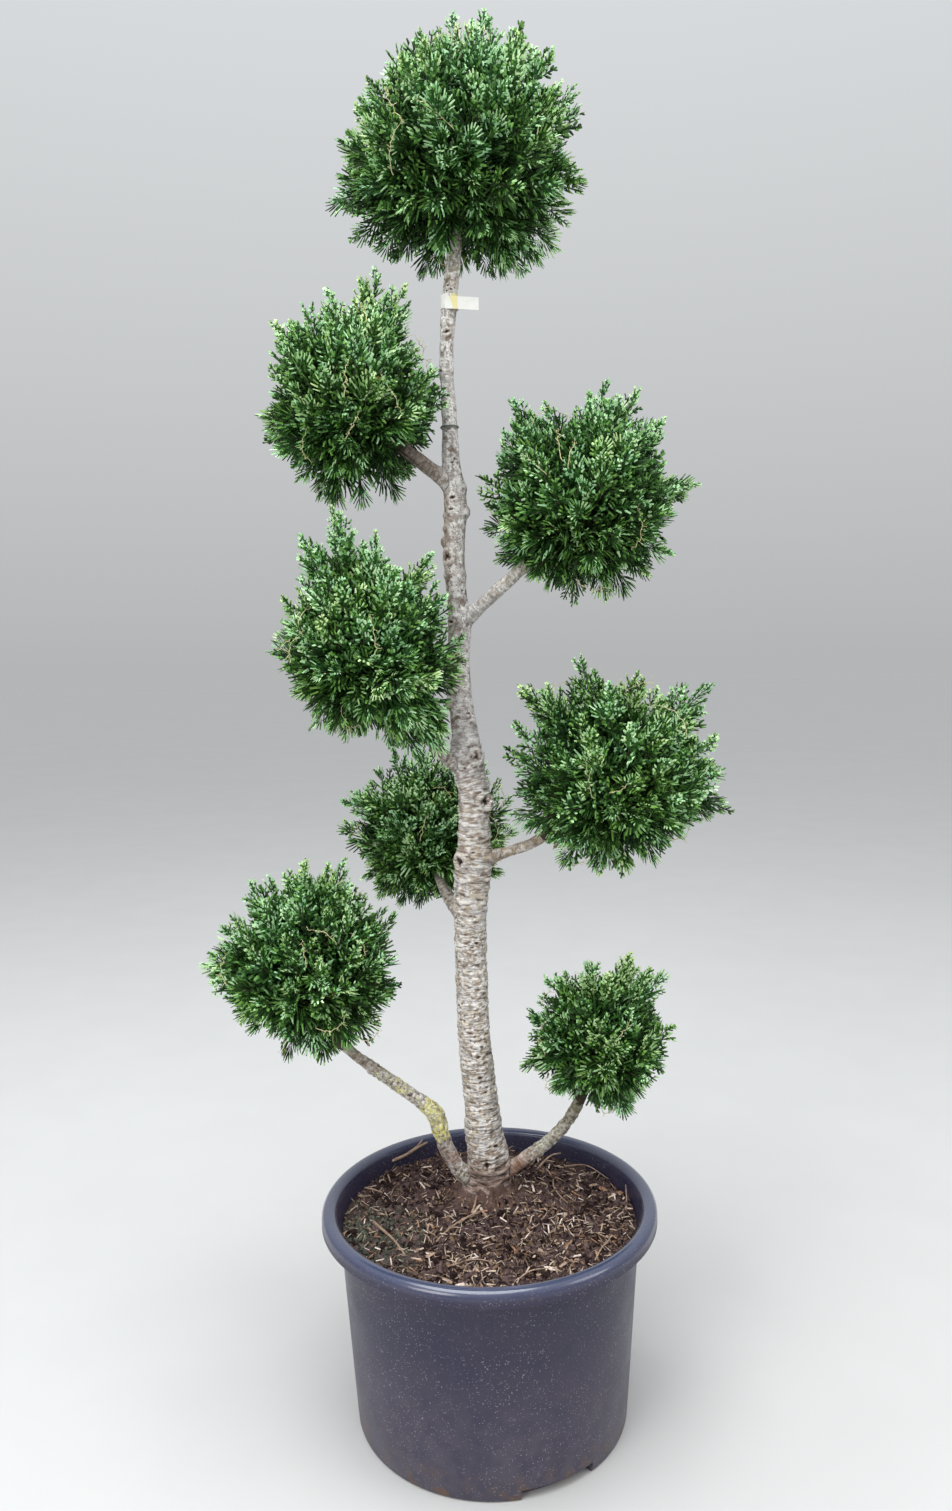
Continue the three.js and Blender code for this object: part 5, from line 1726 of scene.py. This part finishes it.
def spray_mesh(sprays, kinds, chance):
    """Points, triangles and finish numbers of many sprays, one family after another."""
    parts, finishes = [], []
    for family, shapes in enumerate(kinds):
        mine = {key: values[sprays["family"] == family] for key, values in sprays.items()}
        count, corners = len(mine["root"]), shapes.shape[1]
        basis = np.stack([mine["across"], mine["growing"], mine["normal"]], 1)
        points = np.einsum("nvc,nck->nvk", shapes[mine["kind"]], basis) * mine["length"][:, None, None]
        points += mine["root"][:, None, :]
        fingers = corners // FINGER_POINTS
        faces = (np.arange(fingers)[:, None, None] * FINGER_POINTS + FINGER_FACES).reshape(-1, 3)
        all_faces = (np.arange(count)[:, None, None] * corners + faces).reshape(-1, 3)
        parts.append((points.reshape(-1, 3), all_faces))
        change = chance.random((count, fingers))
        step = (change > 1 - FINGER_CHANGE).astype(int) - (change < FINGER_CHANGE)
        tint = np.clip(mine["tint"][:, None] + step, 0, TINT_INDEX["fresh_lit"])
        tint = np.where(mine["tint"][:, None] == TINT_INDEX["dry"], TINT_INDEX["dry"], tint)
        tint += mine["hue"][:, None] * len(TINTS)
        finishes.append((tint[:, :, None] * 2 + np.array(FINGER_IS_LIGHT)).ravel())
    return *joined_arrays(parts), np.concatenate(finishes)


def oriented(growing, facing, twist):
    """Across and normal of sprays that grow one way and turn their flat side to another, then twist."""
    normal = facing - growing * (facing * growing).sum(1, keepdims=True)
    short = np.linalg.norm(normal, axis=1) < 0.05
    normal[short] = np.cross(growing[short], [0.3, 1.0, 0.2])
    normal = unit(normal)
    across = np.cross(growing, normal)
    turn = twist[:, None]
    turned_normal = normal * np.cos(turn) + across * np.sin(turn)
    return np.cross(growing, turned_normal), turned_normal


TINT_INDEX = {name: i for i, name in enumerate(TINTS)}


def dealt_families(height, share, chance):
    """A family for each spray: knobby at the tips of shoots, long on low shoots, fronds along the others."""
    family = np.where(chance.random(len(height)) < FROND_SHARE * (share > 0.15), FROND, KNOBBY)
    family[chance.random(len(height)) < np.clip(0.36 - 0.62 * height, 0.05, 0.85)] = LONG
    return family


def dealt_tints(mood, out, back, family, chance):
    """A tint for each spray, as painted light and shade: fresh and blue at the ends of upper and front shoots,
    deep lower, inside and towards the left.
    """
    # Painted light and shade: the score rises for upper and front-facing shoots and falls deep along a shoot,
    # in set-back shoots and towards the left
    score = mood + 0.29 * out[:, 2] - 0.26 * out[:, 1] - 0.95 * back / SHOOT_DEPTH
    score += chance.normal(0.30, 0.36, len(out)) - 0.2 * np.maximum(-out[:, 0], 0)
    tint = np.full(len(out), TINT_INDEX["green"])
    for name, limit in TINTS_BELOW.items():
        tint[score < limit] = TINT_INDEX[name]
    for name, limit in TINTS_ABOVE.items():
        tint[score > limit] = TINT_INDEX[name]
    tint[(chance.random(len(out)) < DRY_SHARE) & (family == KNOBBY)] = TINT_INDEX["dry"]
    return tint


def dealt_hues(places, kinds):
    """A hue for each spray: regions of warmer and of cooler sprays, mixed a little at their edges."""
    drift = noise_at(places / HUE_DRIFT + 60) + HUE_MIXING * (kinds - SPRAY_KINDS / 2)
    return np.where(drift > HUE_EDGE, WARM_HUE, np.where(drift < -HUE_EDGE, COOL_HUE, PLAIN_HUE))


def shoot_sprays(roots, tips, count, depth, widest, moods, chance):
    """Sprays in turn round each shoot, spread wide low on it and drawn in to its tip."""
    owner = np.repeat(np.arange(len(roots)), count)
    step = np.tile(np.arange(count), len(roots))
    way = unit(tips - roots)[owner]
    side = unit(np.cross(way, [0.11, 0.93, 0.23]))
    other = np.cross(way, side)
    share = 1 - step / (count - 1)
    back = depth * share**1.2
    splay = widest * share**0.7 * chance.uniform(0.65, 1.25, len(step)) + SHOOT_TIP_SPLAY * (share > 0)
    turn = 2.4 * step + chance.uniform(0, 2 * math.pi, len(roots))[owner]
    lean = np.cos(turn)[:, None] * side + np.sin(turn)[:, None] * other
    growing = way * np.cos(splay)[:, None] + lean * np.sin(splay)[:, None]
    out = unit(tips)[owner]
    family = dealt_families(out[:, 2], share, chance)
    length = SPRAY_LENGTH * (0.62 + 0.5 * share) * chance.uniform(0.85, 1.15, len(step))
    length *= np.where(family == FROND, FROND_SIZE, 1)
    reached = length * np.where(family == LONG, LONG_LENGTH, 1) * np.cos(splay)
    facing = out * SPRAY_FACING + chance.normal(0, 0.6, (len(step), 3))
    across, normal = oriented(growing, facing, np.zeros(len(step)))
    mood = (chance.normal(0, 0.13, len(roots)) + moods)[owner]
    return {
        "root": tips[owner] - way * (back + reached)[:, None],
        "growing": growing,
        "across": across,
        "normal": normal,
        "length": length,
        "family": family,
        "kind": chance.integers(0, SPRAY_KINDS, len(step)),
        "tint": dealt_tints(mood, out, back, family, chance),
    }


def nearest_of(points, place):
    return points[np.linalg.norm(points - place, axis=1).argmin()]


def skin_shoots(mass, branches, draw, chance):
    """Shoots from the nearest branch up and out to the mass's skin, their twigs and their moods."""
    mean_reach = float(np.mean(mass["reach"]))
    count = round(4 * math.pi * mean_reach**2 / SHOOT_AREA)
    ways = spread_directions(count, draw)
    reach = reach_along(mass, ways)[:, None]
    rise = SHOOT_RISE * mean_reach * (0.5 + 0.5 * ways[:, 2:])
    roots = ways * SHOOT_ROOT_SHARE * reach - np.array([0, 0, 1.0]) * rise
    set_back = SHOOT_UNEVEN * chance.random(count) ** 2
    tips = ways * reach * (SHOOT_HIGH - set_back)[:, None]
    twigs = [(nearest_of(branches, root), root, TWIG_RADIUS) for root in roots]
    # Shoots set back from the skin get a lower mood: painted shade in the hollows
    return roots, tips, twigs, -SHOOT_HOLLOW_SHADE * set_back


def inner_sprays(mass, chance):
    """Old sprays inside the mass, darkened with painted shade in the shade tint, which fill its heart."""
    ways = unit(chance.normal(0, 1, (INNER_SPRAYS, 3)))
    share = chance.uniform(INNER_LEAST, INNER_SHARE, INNER_SPRAYS)
    tips = ways * (share * reach_along(mass, ways))[:, None]
    growing = unit(ways + chance.normal(0, 0.3, (INNER_SPRAYS, 3)))
    facing = ways + chance.normal(0, 0.5, ways.shape)
    across, normal = oriented(growing, facing, chance.uniform(-1.5, 1.5, INNER_SPRAYS))
    length = np.full(INNER_SPRAYS, float(INNER_LENGTH))
    return {
        "root": tips - growing * length[:, None],
        "growing": growing,
        "across": across,
        "normal": normal,
        "length": length,
        "family": chance.integers(0, 2, INNER_SPRAYS),
        "kind": chance.integers(0, SPRAY_KINDS, INNER_SPRAYS),
        "tint": np.full(INNER_SPRAYS, TINT_INDEX["shade"]),
    }


def hides_bough(points, start, end, half):
    """Whether each point stands before the open stretch of a bough, seen from the front."""
    start, end, eye = np.array(start, float), np.array(end, float), np.array(CAMERA_PLACE)
    seen = eye + (points - eye) * ((start[1] - eye[1]) / (points[:, 1] - eye[1]))[:, None]
    way = (end - start)[[0, 2]]
    offset = (seen - start)[:, [0, 2]]
    along = np.clip(offset @ way / (way @ way), 0, 1)
    away = np.linalg.norm(offset - along[:, None] * way, axis=1)
    return (away < half) & (points[:, 1] < start[1])


def kept_sprays(name, centre, sprays):
    """The sprays that stay clear of limbs, out of other masses and out of the gaps before boughs."""
    keep = np.ones(len(sprays["root"]), bool)
    for along, across in SPRAY_PROBES:
        probe = sprays["growing"] * along + sprays["across"] * across
        points = centre + sprays["root"] + sprays["length"][:, None] * probe
        keep &= ~touches_limb(points) & ~leaves_space(name, points)
        for opening in OPENINGS.get(name, ()):
            keep &= ~hides_bough(points, *opening)
    return {key: values[keep] for key, values in sprays.items()}


def spikes(rows):
    """Straight three-sided twigs, each from a root to a point."""
    roots = np.array([row[0] for row in rows], float)
    tips = np.array([row[1] for row in rows], float)
    radii = np.array([row[2] for row in rows], float)[:, None]
    way = unit(tips - roots)
    side = unit(np.cross(way, [0.31, 0.17, 0.94]))
    other = np.cross(way, side)
    corners = [
        roots + radii * (math.cos(turn) * side + math.sin(turn) * other)
        for turn in (0, 2 * math.pi / 3, 4 * math.pi / 3)
    ]
    points = np.stack([*corners, tips + way * 2], 1).reshape(-1, 3)
    shape = np.array([(0, 2, 1), (0, 1, 3), (1, 2, 3), (2, 0, 3)])
    faces = (np.arange(len(rows))[:, None, None] * 4 + shape).reshape(-1, 3)
    return points, faces


def mass_stem(mass, centre, hub):
    """The mass's own stem, from the limb that carries it to the hub."""
    carrier = LIMBS[mass["bough"] or "trunk"]
    last, before = np.array(carrier[-1]["centre"], float), np.array(carrier[-2]["centre"], float)
    way = unit(last - before)
    start = last - way * STEM_OVERLAP
    lead = last + way * STEM_LEAD
    end = centre + hub if mass["bough"] else last + way * TOP_STEM_LENGTH
    radius = carrier[-1]["radius"]
    end_radius = STEM_HUB_RADIUS if mass["bough"] else TOP_STEM_TIP_RADIUS
    lead_radius = radius + (end_radius - radius) * STEM_LEAD_TAPER
    rows = [(*start, radius), (*lead, lead_radius), (*end, end_radius)]
    return tube(limb_path(stations_of(rows), 5), 12)


def dry_twig_tubes(mass, centre, chance):
    """Bare tan twigs that run unevenly under the mass's skin, with short spurs, and show here and there."""
    parts = []
    for _ in range(DRY_TWIGS):
        way = unit(chance.normal(0, 1, 3))
        lean = np.array([0, 0, 1.0]) + chance.normal(0, 0.6, 3)
        side = unit(lean - way * (lean @ way))
        arc = chance.uniform(*DRY_TWIG_ARC)
        low = chance.uniform(*DRY_TWIG_DEPTH)
        rows = []
        for share in np.linspace(0, 1, DRY_TWIG_POINTS):
            bend = way * math.cos(arc * share) + side * math.sin(arc * share)
            height = low + 0.09 * math.sin(math.pi * share) + 0.006 * chance.normal()
            crook = chance.normal(0, DRY_TWIG_CROOK, 3)
            place = centre + bend * reach_along(mass, bend[None])[0] * height + crook
            radius = DRY_TWIG_RADIUS * (1.5 - share)
            rows.append((*place, radius))
            if share > 0.2 and chance.random() < DRY_SPUR_SHARE:
                end = place + unit(bend + chance.normal(0, 0.8, 3)) * chance.uniform(*DRY_SPUR_LENGTH)
                parts.append(tube(limb_path(stations_of([(*place, radius * 0.7), (*end, 0.3)]), 6), 3))
        parts.append(tube(limb_path(stations_of(rows), 4), 4))
    return parts


def make_mass(index, name, mass, kinds):
    centre = np.array(mass["centre"], float)
    draw = seeded_random(SEED + SEED_STEP * index)
    chance = np.random.default_rng(SEED + index)
    hub = np.array([0, 0, -HUB_DROP * mass["reach"][6]])
    fork_ways = spread_directions(FORK_COUNT, draw)
    forks = fork_ways * (FORK_SHARE * reach_along(mass, fork_ways))[:, None]
    branch_ways = spread_directions(BRANCH_COUNT, draw)
    branches = branch_ways * (BRANCH_SHARE * reach_along(mass, branch_ways))[:, None]
    shoot_roots, shoot_tips, twigs, moods = skin_shoots(mass, branches, draw, chance)
    moods = moods + MASS_MOODS.get(name, 0)
    leader_roots, leader_tips = [], []
    for x, z in mass["leaders"]:
        tip = np.array([x, (next(draw) - 0.5) * JITTER * mass["depth"], z])
        way = unit(tip)
        root = way * BRANCH_SHARE * reach_along(mass, way[None])[0]
        leader_roots += [root] * (1 + SIDE_SHOOTS)
        leader_tips.append(tip)
        for _ in range(SIDE_SHOOTS):
            aside = unit(np.cross(way, chance.normal(0, 1, 3))) * SIDE_SHOOT_OFFSET
            leader_tips.append(tip * SIDE_SHOOT_SHARE * chance.uniform(0.95, 1.05) + aside)
    leader_roots, leader_tips = np.array(leader_roots), np.array(leader_tips)
    groups = [
        shoot_sprays(shoot_roots, shoot_tips, SHOOT_SPRAYS, SHOOT_DEPTH, SHOOT_SPLAY, moods, chance),
        shoot_sprays(leader_roots, leader_tips, LEADER_SPRAYS, LEADER_DEPTH, LEADER_SPLAY, LEADER_MOOD, chance),
        inner_sprays(mass, chance),
    ]
    kept = [kept_sprays(name, centre, group) for group in groups]
    together = {key: np.concatenate([group[key] for group in kept]) for key in kept[0]}
    together["hue"] = dealt_hues(together["root"] + centre, together["kind"])
    points, faces, finish = spray_mesh(together, kinds, chance)
    leaves = mesh_piece("leaves_" + name, points + centre, faces, LEAF_FINISHES, finish, smooth=False)
    settled(leaves, "foliage", name)

    rows = [(hub, fork, FORK_RADIUS) for fork in forks]
    for branch in branches:
        rows.append((nearest_of(forks, branch), branch, BRANCH_RADIUS))
    rows += twigs
    for roots, tips in ((shoot_roots, shoot_tips), (leader_roots, leader_tips)):
        rows += [(root, root + (tip - root) * SHOOT_WOOD_SHARE, SHOOT_RADIUS) for root, tip in zip(roots, tips)]
    spike_points, spike_faces = spikes(rows)
    stem = mass_stem(mass, centre, hub)
    dry = dry_twig_tubes(mass, centre, chance)
    points, faces = joined_arrays([(spike_points + centre, spike_faces), stem, *dry])
    dry_faces = sum(len(part[1]) for part in dry)
    finish = np.zeros(len(faces), int)
    finish[len(spike_faces) : len(spike_faces) + len(stem[1])] = 1
    finish[len(faces) - dry_faces :] = 2
    finishes = [FINISHES["twig_bark_shaded"], FINISHES["twig_bark_shaded"], FINISHES["dry_twig"]]
    settled(mesh_piece("twigs_" + name, points, faces, finishes, finish), "bark", name)


# Label and tie


def ribbon(path, width, thickness):
    """A strip of card along flat points, standing up by its width, as points and triangles."""
    path = np.array(path, float)
    ways = unit(np.gradient(path, axis=0))
    outward = np.column_stack([ways[:, 1], -ways[:, 0], np.zeros(len(path))])
    points = []
    for place, out in zip(path, outward):
        for side in (-0.5, 0.5):
            for edge in (-0.5, 0.5):
                points.append(place + out * thickness * side + np.array([0, 0, width * edge]))
    faces = []
    rails = [0, 1, 3, 2]
    for i in range(len(path) - 1):
        for side in range(4):
            a, b = 4 * i + rails[side], 4 * i + rails[(side + 1) % 4]
            faces += [(a, b, b + 4), (a, b + 4, a + 4)]
    end = 4 * (len(path) - 1)
    faces += [(0, 2, 3), (0, 3, 1), (end, end + 1, end + 3), (end, end + 3, end + 2)]
    return np.array(points), np.array(faces)


def make_label():
    """A strip looped once round the trunk, whose end stands out to the right."""
    centre, _ = trunk_at(LABEL_HEIGHT)
    radius = LABEL_LOOP_RADIUS - LABEL_THICKNESS
    turns = np.radians(np.linspace(LOOP_FROM, LOOP_TO, LOOP_POINTS))
    path = [centre + radius * np.array([math.cos(t), math.sin(t), 0]) for t in turns]
    loop = ribbon(path, LABEL_WIDTH, LABEL_THICKNESS)
    flag_path = []
    for share in np.linspace(0, 1, FLAG_POINTS):
        x = FLAG_FROM + (FLAG_TO - FLAG_FROM) * share
        y = FLAG_GAP - LABEL_LOOP_RADIUS - FLAG_BOW * math.sin(math.pi * share)
        flag_path.append((x, y, -FLAG_DROP - math.tan(FLAG_TURN) * x))
    flag = ribbon(np.array(flag_path) + centre, LABEL_WIDTH * FLAG_WIDTH_SHARE, LABEL_THICKNESS)
    points, faces = joined_arrays([loop, flag])
    middles = points[faces].mean(1) - centre
    yellow = (middles[:, 0] > YELLOW_FROM) & (middles[:, 0] < YELLOW_TO) & (middles[:, 1] < 0)
    yellow[len(loop[1]) :] &= middles[len(loop[1]) :, 0] < FLAG_YELLOW_TO
    finishes = [FINISHES["label_white"], FINISHES["label_yellow"]]
    piece = mesh_piece("label_strip", points, faces, finishes, yellow.astype(int), smooth=False)
    settled(piece, "label", "label_tag")


def make_wire():
    """A thin wire wound twice round the trunk, with a short twisted end."""
    centre, radius = trunk_at(WIRE_HEIGHT)
    rows = []
    for turn in np.linspace(0.5 * math.pi, 4.5 * math.pi, WIRE_POINTS):
        out = radius + WIRE_RADIUS + WIRE_GAP
        height = WIRE_HEIGHT - WIRE_GAP + WIRE_RISE * turn
        rows.append((centre[0] + out * math.cos(turn), centre[1] + out * math.sin(turn), height, WIRE_RADIUS))
    for step in range(1, WIRE_END_POINTS + 1):
        out = radius + WIRE_RADIUS + WIRE_END_STEP * step
        rows.append((centre[0] - 0.5 * step, centre[1] + out, WIRE_HEIGHT + 1 + 0.5 * step, WIRE_RADIUS))
    piece = mesh_piece("tie_wire", *tube(limb_path(stations_of(rows), 1.2), 6), [FINISHES["tie_wire"]])
    settled(piece, "label")


def make_floor():
    turns = 2 * math.pi * np.arange(FLOOR_SIDES) / FLOOR_SIDES
    points = [(0, 0, 0)] + [(FLOOR_RADIUS * math.cos(t), FLOOR_RADIUS * math.sin(t), 0) for t in turns]
    faces = [(0, 1 + j, 1 + (j + 1) % FLOOR_SIDES) for j in range(FLOOR_SIDES)]
    mesh_piece("floor", points, faces, [FINISHES["pale_floor"]])


make_camera()
make_lights()
make_floor()
make_container()
soil_piece = make_soil()
make_litter(soil_piece)
make_soil_twigs()
make_large_chips()
make_limbs()
make_label()
make_wire()
leaf_kinds = spray_kinds(np.random.default_rng(SEED))
for number, (mass_name, mass_facts) in enumerate(MASSES.items()):
    make_mass(number, mass_name, mass_facts, leaf_kinds)

view = bpy.context.scene.view_settings
view.view_transform = "Standard"
view.look = "None"
